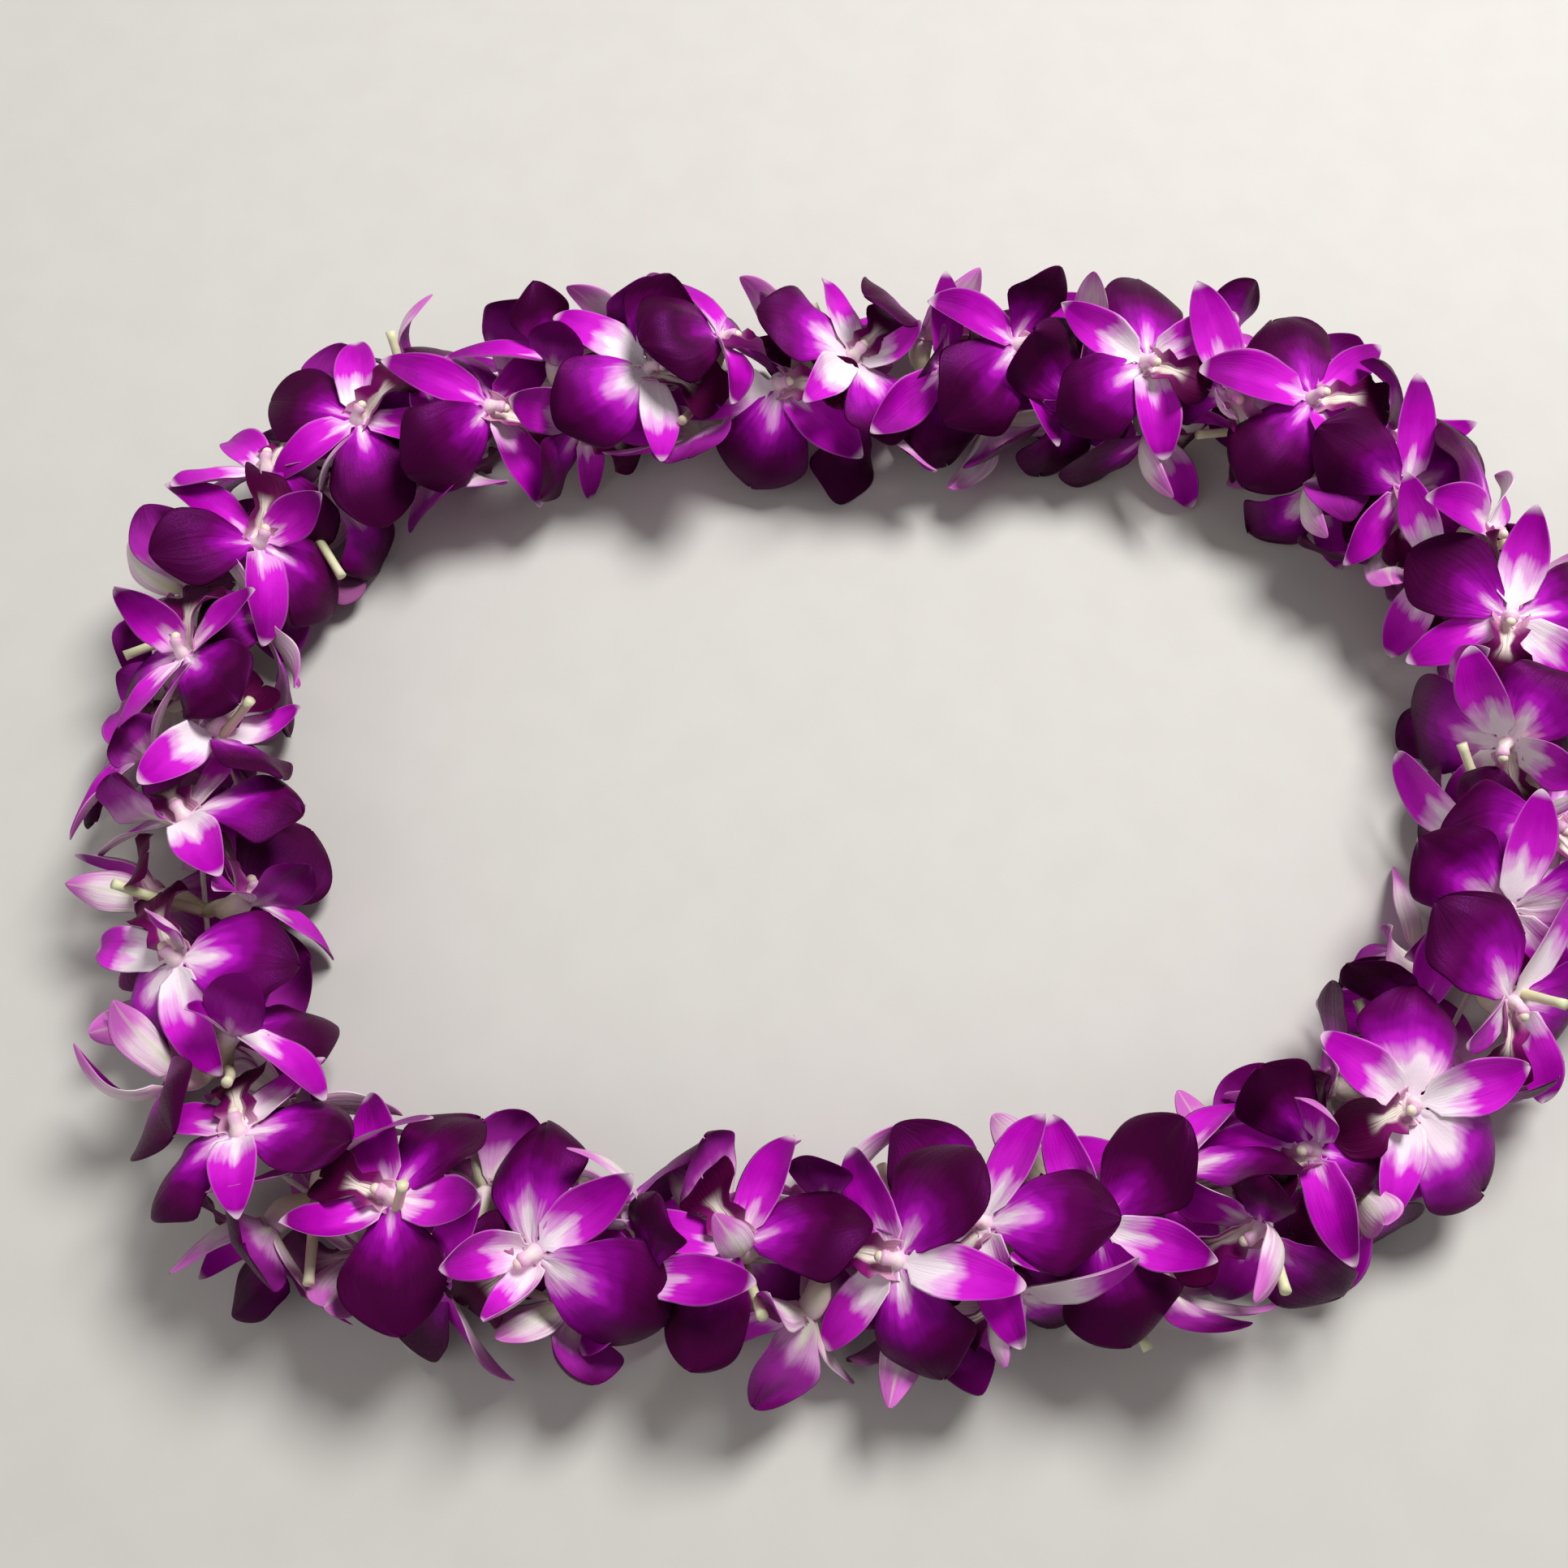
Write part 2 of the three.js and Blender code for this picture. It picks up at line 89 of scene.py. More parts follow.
# One blossom's solid, in millimetres and degrees
BLADE_THICKNESS = 0.8
ROOT_RADIUS = 3.2
BLUNT_END = 0.92
PITCH_SPREAD = 9
BEND_SPREAD = 16
SIZE_SPREAD = 0.07
CUP_SPREAD = 0.5
TWIST_SPREAD = 24
CURLED_PITCH = 42
CURLED_BEND = 75

# What a lobe may do to lie clear of its neighbours
PITCH_STEPS = (0, 8, -8, 16, -16, 25, -25, 35, -35, 47, -47, 60, -60, 76, -76)
BEND_STEPS = (0, 20, -20, 42, -42, 66, -66, 90, -90)
SWAY_STEPS = (0, 12, -12, 22, -22)
SHORTER_STEPS = (1, 0.88, 0.75, 0.6, 0.45, 0.32, 0.22)
NARROWING = 0.85

# How near a corner of the frame's solid has to be to a lobe's corner, and how many of them name its bend
SAME_CORNER = 0.02
ENOUGH_CORNERS = 3

# The fine surfaces, in millimetres: rows and columns of points, and the radii of the rows inside the root
FLOOR_GAP = 0.12
ROWS_BEFORE_ROOT = (0.9, 2.1)
PETAL_GRID = (21, 17)
SEPAL_GRID = (18, 11)
LIP_GRID = (17, 15)


# Half the width of each kind of blade along its length, as shares of its full width
def petal_outline(v):
    return 0.5 * np.sin(np.pi * v ** 1.25) ** 0.6


def sepal_outline(v):
    return 0.5 * np.sin(np.pi * v ** 0.85)


def lip_outline(v):
    return 0.5 * np.sin(np.pi * v ** 1.1) ** 0.5


SEPAL = dict(cup=0.1, curls=0.22, outline=sepal_outline, widest=0.46, ends=(0,), end=1)
PETAL = dict(cup=0.06, curls=0.12, outline=petal_outline, widest=0.5, ends=(-1, 1), end=BLUNT_END)
LIP = dict(cup=0.55, curls=0, outline=lip_outline, widest=0.5, ends=(-1, 1), end=BLUNT_END)
UPPER_SEPAL = dict(SEPAL, form="sepal", length=27, width=12.5, pitch=4, bend=-14)
SIDE_SEPAL = dict(SEPAL, form="sepal", length=25, width=12, pitch=12, bend=-8)
WIDE_PETAL = dict(PETAL, form="petal", length=28, width=25.5, pitch=10, bend=-42)
FRONT_LIP = dict(LIP, form="lip", length=18, width=14, pitch=50, bend=-70)
LOBES = [
    SimpleNamespace(turn=0, **UPPER_SEPAL),
    SimpleNamespace(turn=65, **WIDE_PETAL),
    SimpleNamespace(turn=126, **SIDE_SEPAL),
    SimpleNamespace(turn=180, **FRONT_LIP),
    SimpleNamespace(turn=234, **SIDE_SEPAL),
    SimpleNamespace(turn=295, **WIDE_PETAL),
]


# The step and the 32-bit mask of the draws
DRAW_STEP = 0x6D2B79F5
DRAW_MASK = 0xFFFFFFFF


class Draws:
    """Seeded draws between 0 and 1, the same every run."""

    def __init__(self, seed):
        self.state = seed

    def share(self):
        self.state = (self.state + DRAW_STEP) & DRAW_MASK
        t = ((self.state ^ (self.state >> 15)) * (1 | self.state)) & DRAW_MASK
        t = ((t + (t ^ (t >> 7)) * (61 | t)) & DRAW_MASK) ^ t
        return (t ^ (t >> 14)) / (DRAW_MASK + 1)

    def spread(self, amount):
        return (self.share() * 2 - 1) * amount


def unit(vector):
    return vector / np.linalg.norm(vector)


def turned(vector, about, angle):
    """A vector turned about a unit axis by the right-hand rule."""
    along = about * np.dot(about, vector) * (1 - math.cos(angle))
    return vector * math.cos(angle) + np.cross(about, vector) * math.sin(angle) + along


# The thread's run: a smooth closed curve through the ring's points, measured along its length
def smooth_between(a, b, c, d, t):
    start = (c - a) / 2
    end = (d - b) / 2
    bow = 2 * b - 2 * c + start + end
    lean = -3 * b + 3 * c - 2 * start - end
    return ((bow * t + lean) * t + start) * t + b


def run_through_ring():
    points = []
    for i in range(RUN_STEPS + 1):
        place = i / RUN_STEPS * len(RING_POINTS)
        first = math.floor(place)
        near = [RING_POINTS[(first + k) % len(RING_POINTS)] for k in (-1, 0, 1, 2)]
        x, y = (smooth_between(*(p[k] for p in near), place - first) + RING_SHIFT[k] for k in (0, 1))
        points.append((x, y, THREAD_HEIGHT))
    points = np.array(points)
    steps = np.linalg.norm(np.diff(points, axis=0), axis=1)
    return points, np.concatenate([[0], np.cumsum(steps)])


RUN_POINTS, RUN_LENGTHS = run_through_ring()
RUN_LENGTH = RUN_LENGTHS[-1]
PITCH_ALONG_THREAD = RUN_LENGTH / BLOOM_COUNT


def thread_point(distance):
    along = distance % RUN_LENGTH
    return np.array([np.interp(along, RUN_LENGTHS, RUN_POINTS[:, k]) for k in range(3)])


def thread_direction(distance):
    return unit(thread_point(distance + 1) - thread_point(distance - 1))


def place_bloom(number, draws):
    """Where a blossom's heart is and how it faces: dorsal to its upper sepal, axis out of its face."""
    pair = number // BLOOMS_PER_NODE
    knot_along = (pair + 0.5) * BLOOMS_PER_NODE * PITCH_ALONG_THREAD
    along = knot_along - HEART_LAG + ((number % BLOOMS_PER_NODE) * 2 - 1) * PAIR_HALF_STEP
    from_top = 2 * ((number * GOLDEN_TURN) % 1) - 1
    crowded = math.copysign(abs(from_top) ** CROWD_TOWARDS_TOP, from_top)
    around = (AROUND_TOP + crowded * AROUND_HALF_RANGE + draws.spread(AROUND_SPREAD)) * DEGREE
    tilt = (FACE_TILT + draws.spread(TILT_SPREAD)) * DEGREE
    spin = draws.spread(SPIN_SPREAD) * DEGREE
    roll = draws.spread(ROLL_SPREAD) * DEGREE
    distance = HEART_DISTANCE + draws.spread(DISTANCE_SPREAD)
    size = 1 + draws.spread(SIZE_SPREAD)
    forward = thread_direction(along)
    out = np.cross(forward, UP) * math.cos(around) + UP * math.sin(around)
    axis = turned(out, unit(np.cross(out, forward)), -tilt)
    dorsal = turned(unit(forward - axis * np.dot(forward, axis)), axis, spin)
    axis = turned(axis, dorsal, roll)
    return SimpleNamespace(
        number=number, pair=pair, size=size, out=out, forward=forward, height=math.sin(around),
        axis=axis, dorsal=dorsal, side=np.cross(axis, dorsal),
        heart=thread_point(along) + out * distance, knot=thread_point(knot_along),
    )


def grow_lobe(kind, size, draws):
    """A lobe before it is bent clear of its neighbours."""
    curled = 1 if draws.share() < kind.curls else 0
    return SimpleNamespace(
        kind=kind,
        length=kind.length * size * (1 + draws.spread(SIZE_SPREAD)),
        width=kind.width * size * (1 + draws.spread(SIZE_SPREAD)),
        pitch=kind.pitch + draws.spread(PITCH_SPREAD) + curled * CURLED_PITCH,
        bend=kind.bend + draws.spread(BEND_SPREAD) + curled * CURLED_BEND,
        cup=kind.cup * (1 + draws.spread(CUP_SPREAD)),
        twist=draws.spread(TWIST_SPREAD) * DEGREE,
    )


def bend_lobe(lobe, pitch_step, bend_step, sway, shorter):
    """The lobe with a bend, or with every bend of four arrays at once."""
    bend = lobe.bend + bend_step
    return SimpleNamespace(
        kind=lobe.kind,
        turn=(lobe.kind.turn + sway) * DEGREE,
        length=lobe.length * shorter,
        width=lobe.width * shorter ** NARROWING,
        pitch=(lobe.pitch + pitch_step) * DEGREE,
        bend=np.where(np.abs(bend) < 1, 1, bend) * DEGREE,
        cup=lobe.cup,
        twist=lobe.twist,
        shorter=shorter,
    )


def lobe_axes(lobe, v):
    """Along a lobe's middle line: its directions outwards, across and out of its face, and its place."""
    angle = lobe.pitch + lobe.bend * v
    reach = lobe.length * (np.sin(angle) - np.sin(lobe.pitch)) / lobe.bend
    rise = lobe.length * (np.cos(lobe.pitch) - np.cos(angle)) / lobe.bend
    cos_turn, sin_turn = np.cos(lobe.turn), np.sin(lobe.turn)
    flat = np.zeros_like(angle)
    radial = np.stack([cos_turn + flat, sin_turn + flat, flat], -1)
    across = np.stack([-sin_turn + flat, cos_turn + flat, flat], -1)
    normal = UP * np.cos(angle)[..., None] - radial * np.sin(angle)[..., None]
    middle = radial * (ROOT_RADIUS + reach)[..., None] + UP * rise[..., None]
    return radial, across, normal, middle


def lobe_points(lobe, u, v, half, lift=0.0):
    """Points of a lobe in its blossom's own axes, lift millimetres out of its face."""
    _, across, normal, middle = lobe_axes(lobe, v)
    twist = lobe.twist * v
    sideways = u * half * np.cos(twist)
    outwards = u * half * np.sin(twist) + lobe.cup * u * u * half + lift
    return middle + across * sideways[..., None] + normal * outwards[..., None], normal


def to_world(bloom, local):
    axes = np.stack([bloom.dorsal, bloom.side, bloom.axis])
    return bloom.heart + np.asarray(local) @ axes


# Reading the frame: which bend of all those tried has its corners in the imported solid
BENDS = np.array(
    [(p, b, s, k) for k in SHORTER_STEPS for p in PITCH_STEPS for b in BEND_STEPS for s in SWAY_STEPS],
    dtype=float,
)


def solid_corners(bloom, lobe):
    """The front and back corners beyond the root of the lobe's solid, for every bend it holds, tip first."""
    kind = lobe.kind
    spots = [(u, kind.end) for u in kind.ends] + [(u, kind.widest) for u in (-1, 0, 1)]
    corners = []
    for u, v in spots:
        v = np.full_like(lobe.pitch, v)
        point, normal = lobe_points(lobe, u, v, kind.outline(v) * lobe.width)
        for face in (0.5, -0.5):
            corners.append(to_world(bloom, point + normal * (face * BLADE_THICKNESS)))
    return corners


def touches_any(points, corners):
    squares = (points ** 2).sum(1)[:, None] + (corners ** 2).sum(1)[None] - 2 * points @ corners.T
    return squares.min(1) < SAME_CORNER ** 2


def bend_from_frame(bloom, lobe, corners):
    """The lobe as it is bent in the frame, or None where the frame leaves it off."""
    tried = bend_lobe(lobe, *BENDS.T)
    found = solid_corners(bloom, tried)
    for points in found:
        hits = np.nonzero(touches_any(points, corners))[0]
        if len(hits) == 0:
            continue
        counts = sum(touches_any(other[hits], corners).astype(int) for other in found)
        if counts.max() >= ENOUGH_CORNERS:
            return bend_lobe(lobe, *BENDS[hits[counts.argmax()]])
    return None


def node_name(pair):
    return f"blossoms_{pair + 1:02d}"


def frame_corners(name):
    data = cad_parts[name].data
    flat = np.empty(len(data.vertices) * 3, dtype=np.float32)
    data.vertices.foreach_get("co", flat)
    return flat.reshape(-1, 3).astype(float) / MM


def arrange():
    """Every blossom with its lobes, as the frame has them."""
    draws = Draws(SEED)
    blooms = [place_bloom(number, draws) for number in range(BLOOM_COUNT)]
    for bloom in blooms:
        bloom.grown = [grow_lobe(kind, bloom.size, draws) for kind in LOBES]
    for bloom in blooms:
        corners = frame_corners(node_name(bloom.pair))
        bloom.lobes = [bend_from_frame(bloom, lobe, corners) for lobe in bloom.grown]
    return blooms


def grid_faces(numbers):
    """Faces over a grid of point numbers."""
    corners = [numbers[:-1, :-1], numbers[1:, :-1], numbers[1:, 1:], numbers[:-1, 1:]]
    return np.stack(corners, -1).reshape(-1, 4).tolist()


class Skin:
    """A growing mesh in millimetres, with a value of each named attribute for every vertex."""

    def __init__(self, *attributes):
        self.points = []
        self.faces = []
        self.values = {name: [] for name in attributes}
        self.count = 0

    def add(self, points, **values):
        """Adds points and returns their numbers; every value is one number or one for each point."""
        points = np.asarray(points, dtype=float).reshape(-1, 3)
        self.points.append(points)
        for name, chosen in self.values.items():
            value = np.asarray(values.get(name, 0.0), dtype=float).ravel()
            chosen.append(np.broadcast_to(value, len(points)))
        numbers = np.arange(self.count, self.count + len(points))
        self.count += len(points)
        return numbers

    def add_grid(self, numbers):
        """Faces over a grid of point numbers, seen from where its rows run to the right of its columns."""
        self.faces.extend(grid_faces(numbers))

    def add_sheet(self, middle, normal, thickness, **values):
        """A thin closed sheet about a grid of points, which ends in a fine edge all round."""
        shape = middle.shape[:2]
        edge = np.zeros(shape, dtype=bool)
        edge[[0, -1], :] = True
        edge[:, [0, -1]] = True
        half = normal * (np.where(edge, 0, thickness) / 2)[..., None]
        inner = ~edge
        front = self.add(lifted(middle + half), back=np.where(edge, 0.5, 0.0), **values).reshape(shape)
        inner_values = {name: np.broadcast_to(value, shape)[inner] for name, value in values.items()}
        back = front.copy()
        back[inner] = self.add(lifted((middle - half)[inner]), back=1.0, **inner_values)
        self.add_grid(front)
        self.add_grid(back[:, ::-1])

    def add_tube(self, rings, **values):
        """A closed tube through rings of points, each counter-clockwise seen from the last one's end."""
        rings = np.asarray(rings)
        count, sides = rings.shape[:2]
        shaped = {name: np.repeat(np.broadcast_to(value, count), sides) for name, value in values.items()}
        numbers = self.add(lifted(rings), **shaped).reshape(count, sides)
        closed = np.concatenate([numbers, numbers[:, :1]], axis=1)
        self.add_grid(closed[::-1])
        ends = {name: np.broadcast_to(value, count) for name, value in values.items()}
        for end, ring in ((0, numbers[0][::-1]), (-1, numbers[-1])):
            tip = self.add(rings[end].mean(0), **{name: value[end] for name, value in ends.items()})[0]
            self.faces.extend([int(ring[k]), int(ring[(k + 1) % sides]), int(tip)] for k in range(sides))

    def join(self, other):
        """Adds all that another skin holds."""
        self.faces.extend([self.count + corner for corner in face] for face in other.faces)
        self.points.extend(other.points)
        self.count += other.count
        for name, chosen in other.values.items():
            self.values[name].extend(chosen)

    def build(self, name, material, replaced):
        mesh = bpy.data.meshes.new(name)
        mesh.from_pydata((np.concatenate(self.points) * MM).tolist(), [], self.faces)
        for attribute, chosen in self.values.items():
            data = mesh.attributes.new(attribute, "FLOAT", "POINT").data
            data.foreach_set("value", np.concatenate(chosen).astype(np.float32))
        mesh.polygons.foreach_set("use_smooth", [True] * len(mesh.polygons))
        mesh.materials.append(material)
        mesh.validate()
        piece = bpy.data.objects.new(name, mesh)
        bpy.context.scene.collection.objects.link(piece)
        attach(piece, "root")
        if replaced:
            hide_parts(replaced)
        return piece


def lifted(points, gap=FLOOR_GAP):
    """Points kept off the floor."""
    points = np.array(points, dtype=float)
    points[..., 2] = np.maximum(points[..., 2], gap)
    return points


def sheet_normals(middle):
    """Unit normals of a grid of points, out of the face that add_grid shows."""
    down = np.gradient(middle, axis=0)
    right = np.gradient(middle, axis=1)
    normal = np.cross(down, right)
    return normal / np.maximum(np.linalg.norm(normal, axis=-1, keepdims=True), SHORTEST)


def smooth_step(low, high, value):
    share = np.clip((value - low) / (high - low), 0, 1)
    return share * share * (3 - 2 * share)


# How the lobes depart from their plain forms: the waves along a margin, and how few lobes fold
WAVE_TURNS = 7
WAVE_TURNS_SPREAD = 2.5
FOLD_SPREAD = 2
UNFOLDED = 0.8
UNROLLED = 0.6

# The fine half widths, in millimetres at the claw that each lobe stands on, and as shares beyond it
PETAL_CLAW = 1.7
SEPAL_CLAW = 1.6
LIP_CLAW = 1.5
PETAL_POINT = 0.25
PETAL_SCALLOP = 0.035
SEPAL_SCALLOP = 0.03
LIP_SCALLOP = 0.05
SEPAL_BLUNTNESS = 0.72
SEPAL_BLUNTNESS_SPREAD = 0.2
LIP_SIDE_LOBES = 0.75
LIP_WAIST = 0.45
LIP_MIDDLE_LOBE = 1.14
LIP_NOTCH = 0.09

# How far a fine lobe lifts out of its plain curve: ruffles, rolls and folds as shares of the half width,
# grooves, ridges, dents and drooping tips in millimetres
PETAL_GROOVE = 0.45
PETAL_RUFFLE = 0.12
PETAL_ROLL = (0.06, 0.2)
PETAL_ONE_SIDE = 0.34
PETAL_FOLD = 0.3
PETAL_DENTS = 1.2
PETAL_DROOP = (0.4, 3)
SEPAL_FOLD = (0.14, 0.22)
SEPAL_RUFFLE = 0.1
SEPAL_DENTS = 0.4
SEPAL_DROOP = (0.3, 2.2)
LIP_RIDGES = 0.35
LIP_OPENING = 1.15
LIP_RUFFLE = 0.2
LIP_DROOP = 1.2


def draw_wave(draws):
    """How one lobe departs from its plain form."""
    return SimpleNamespace(
        turns=WAVE_TURNS + draws.spread(WAVE_TURNS_SPREAD),
        start=draws.share() * FULL_TURN,
        skew=draws.share() * math.pi,
        point=draws.share(),
        roll=draws.share(),
        crumple=draws.share(),
        curl=draws.share(),
        fold=max(0, draws.spread(FOLD_SPREAD) - UNFOLDED),
        one_side=max(0, draws.spread(FOLD_SPREAD) - UNROLLED),
        side=math.copysign(1, draws.spread(1)),
    )


def side_wave(u, v, wave, turns):
    """A wave along the margin that is out of step on the two sides."""
    return np.sin(turns * v + wave.start + np.sign(u) * wave.skew)


def crumpled(u, v, wave):
    """Slow dents over a whole lobe, between -1 and 1."""
    first = np.sin(5.2 * v + 2.6 * u + wave.start) * np.cos(3.4 * u - 2.2 * v + wave.skew * 2)
    second = np.sin(9.5 * v - 4.1 * u + wave.skew * 3)
    return (0.7 * first + 0.3 * second) * smooth_step(0.12, 0.45, v)


def petal_half(lobe, u, v, wave):
    claw = PETAL_CLAW * (1 - smooth_step(0, 0.2, v))
    point = 1 - PETAL_POINT * wave.point * smooth_step(0.6, 1, v)
    scallop = 1 + PETAL_SCALLOP * side_wave(u, v, wave, 1.6 * wave.turns) * smooth_step(0.2, 0.5, v)
    return lobe.kind.outline(v) * lobe.width * point * scallop + claw


def sepal_half(lobe, u, v, wave):
    claw = SEPAL_CLAW * (1 - smooth_step(0, 0.25, v))
    scallop = 1 + SEPAL_SCALLOP * side_wave(u, v, wave, wave.turns)
    blunt = 0.5 * (2 * lobe.kind.outline(v)) ** (SEPAL_BLUNTNESS - SEPAL_BLUNTNESS_SPREAD * wave.point)
    return blunt * lobe.width * scallop + claw


def lip_half(lobe, u, v, wave):
    """Two side lobes by the column, a waist, and the broad middle lobe."""
    claw = LIP_CLAW * (1 - smooth_step(0, 0.15, v))
    side_lobes = LIP_SIDE_LOBES * np.exp(-((v - 0.2) / 0.15) ** 2)
    waist = LIP_WAIST * (1 - smooth_step(0.5, 0.9, v))
    middle_lobe = LIP_MIDDLE_LOBE * np.sqrt(np.clip(1 - ((v - 0.69) / 0.31) ** 2, 0, 1))
    scallop = 1 + LIP_SCALLOP * side_wave(u, v, wave, 2 * wave.turns) * smooth_step(0.5, 0.7, v)
    return 0.5 * lobe.width * np.maximum(np.maximum(side_lobes, waist), middle_lobe) * scallop + claw


def petal_lift(lobe, u, v, half, wave):
    groove = -PETAL_GROOVE * np.exp(-(u / 0.13) ** 2) * (1 - 0.7 * v)
    ruffle = PETAL_RUFFLE * half * np.abs(u) ** 3 * side_wave(u, v, wave, wave.turns)
    roll = -(PETAL_ROLL[0] + PETAL_ROLL[1] * wave.roll) * half * np.abs(u) ** 2.5
    one_side = -PETAL_ONE_SIDE * wave.one_side * half * np.clip(u * wave.side, 0, 1) ** 3
    fold = -PETAL_FOLD * wave.fold * half * (np.sqrt(u * u + 0.01) - 0.3)
    dents = PETAL_DENTS * wave.crumple * crumpled(u, v, wave)
    tip = -(PETAL_DROOP[0] + PETAL_DROOP[1] * wave.curl) * v ** 6
    return groove + (ruffle + roll + one_side + fold) * smooth_step(0.1, 0.45, v) + dents + tip


def sepal_lift(lobe, u, v, half, wave):
    fold = (SEPAL_FOLD[0] + SEPAL_FOLD[1] * wave.roll) * half * np.abs(u) ** 1.4
    ruffle = SEPAL_RUFFLE * half * np.abs(u) ** 3 * side_wave(u, v, wave, 0.8 * wave.turns)
    dents = SEPAL_DENTS * wave.crumple * crumpled(0.5 * u, v, wave)
    return fold + ruffle + dents - (SEPAL_DROOP[0] + SEPAL_DROOP[1] * wave.curl) * v ** 5


def lip_lift(lobe, u, v, half, wave):
    ridges = LIP_RIDGES * np.cos(u * 9) * np.exp(-(u / 0.35) ** 2) * (1 - smooth_step(0.3, 0.6, v))
    open_out = -LIP_OPENING * lobe.cup * u * u * half * smooth_step(0.4, 0.75, v)
    ruffle = LIP_RUFFLE * half * np.abs(u) ** 3 * side_wave(u, v, wave, 2 * wave.turns)
    return ridges + open_out + ruffle * smooth_step(0.4, 0.6, v) - LIP_DROOP * v ** 5


def notched(u, v):
    """The places along a lip with the middle of its tip drawn back."""
    return v - LIP_NOTCH * np.exp(-(u / 0.3) ** 2) * smooth_step(0.75, 1, v)


# Each kind of lobe's fine form; kind tells the shared material a petal from a sepal
FINE = {
    "petal": SimpleNamespace(grid=PETAL_GRID, half=petal_half, lift=petal_lift, thickness=0.42, kind=1.0),
    "sepal": SimpleNamespace(grid=SEPAL_GRID, half=sepal_half, lift=sepal_lift, thickness=0.5, kind=0.0),
    "lip": SimpleNamespace(grid=LIP_GRID, half=lip_half, lift=lip_lift, thickness=0.5, kind=0.0),
}


# How a lobe gives way where it would cross another: the share of its wave that it keeps, a small tip in
# degrees, the width that it keeps with no wave, and how much of it near the crowded root isn't looked at
WAVE_SHARES = (1, 0.6, 0.3, 0)
TIP_STEPS = (0, 4, -4, 8, -8)
PLAIN_WIDTH = 0.9
CROWDED_ROOT = 0.2

# How large a lobe may grow where it has room, as a share of its size before the frame shortened it, and
# how far from the thread and how near the floor, in millimetres
ROOMY_SIZE = 1.08
GROWTH_SHARES = (1, 0.8, 0.6, 0.4, 0.2)
ROOMY_REACH = 29
ROOMY_FLOOR = 0.4
OUTER_ROWS = 9
RUN_STRIDE = 8

# Where a fine lobe's points lie: how much closer its rows stand at the tip and its columns at the sides,
# and how thin it gets there
LAST_ROW = 0.99
ROW_CROWDING = 1.5
COLUMN_CROWDING = 0.92
SIDE_THINNING = 0.55
TIP_THINNING = 0.35


class Laid:
    """The surfaces laid so far, for finding those that a new one would cross."""

    def __init__(self):
        self.trees = []
        self.boxes = np.empty((0, 6))

    def crossings(self, tree, box, apart_from):
        """How often a surface crosses the laid ones, apart from those with the numbers given."""
        near = np.all((self.boxes[:, :3] < box[3:]) & (self.boxes[:, 3:] > box[:3]), axis=1)
        near[list(apart_from)] = False
        return sum(len(tree.overlap(self.trees[k])) for k in np.nonzero(near)[0])

    def add(self, tree, box):
        self.trees.append(tree)
        self.boxes = np.vstack([self.boxes, box])

    def replace(self, number, tree, box):
        self.trees[number] = tree
        self.boxes[number] = box


def search_tree(points, faces):
    """A surface's search tree and its box."""
    return BVHTree.FromPolygons(points.tolist(), faces), np.concatenate([points.min(0), points.max(0)])


def beyond_root(middle, v):
    """The search tree and box of a lobe's surface beyond its crowded root."""
    rows = middle[v[:, 0] > CROWDED_ROOT]
    points = rows.reshape(-1, 3)
    return search_tree(points, grid_faces(np.arange(len(points)).reshape(rows.shape[:2])))


def lobe_surface(bloom, lobe, u, v, wave, share):
    """The middle surface of a lobe with a share of its wave."""
    fine = FINE[lobe.kind.form]
    half = fine.half(lobe, u, v, wave) * (PLAIN_WIDTH + (1 - PLAIN_WIDTH) * share)
    places = notched(u, v) if lobe.kind.form == "lip" else v
    middle, _ = lobe_points(lobe, u, places, half, fine.lift(lobe, u, v, half, wave) * share)
    outwards = np.array([math.cos(lobe.turn), math.sin(lobe.turn), 0.0])
    for row, radius in enumerate(ROWS_BEFORE_ROOT):
        middle[row] += outwards * (radius - ROOT_RADIUS)
        middle[row, :, 2] = middle[row, :, 2] * (radius / ROOT_RADIUS) ** 2
    return to_world(bloom, middle)


def lobe_places(form):
    """The places across and along a fine lobe, closer together at its sides and its tip."""
    rows, columns = FINE[form].grid
    beyond = 1 - (1 - np.linspace(0, LAST_ROW, rows)) ** ROW_CROWDING
    v = np.concatenate([[0.0] * len(ROWS_BEFORE_ROOT), beyond])
    u = np.sin(np.linspace(-1, 1, columns) * np.pi / 2 * COLUMN_CROWDING)
    v, u = np.meshgrid(v, u / math.sin(math.pi / 2 * COLUMN_CROWDING), indexing="ij")
    return u, v


def ways_to_lie(lobe):
    """The lobe's tips and the shares of its wave, the fullest first."""
    for tip in TIP_STEPS:
        tipped = SimpleNamespace(**{**vars(lobe), "pitch": lobe.pitch + tip * DEGREE})
        for share in WAVE_SHARES:
            yield tipped, share


def lay_lobe(bloom, lobe, laid, draws):
    """Lays a fine lobe where the frame has its plain blade, the way that crosses the laid ones least."""
    u, v = lobe_places(lobe.kind.form)
    wave = draw_wave(draws)
    fewest = math.inf
    for tipped, share in ways_to_lie(lobe):
        middle = lobe_surface(bloom, tipped, u, v, wave, share)
        tree, box = beyond_root(middle, v)
        count = laid.crossings(tree, box, (bloom.number,))
        if count < fewest:
            fewest = count
            best = SimpleNamespace(
                bloom=bloom, lobe=tipped, u=u, v=v, wave=wave, share=share,
                middle=middle, tree=tree, box=box,
            )
        if fewest == 0:
            break
    best.number = len(laid.trees)
    best.tone = draws.share()
    laid.add(best.tree, best.box)
    return best


def reach(middle):
    """How far a lobe's outer part reaches from the thread."""
    outer = middle[-OUTER_ROWS:].reshape(-1, 1, 3)
    return math.sqrt(((outer - RUN_POINTS[::RUN_STRIDE]) ** 2).sum(-1).min(1).max())


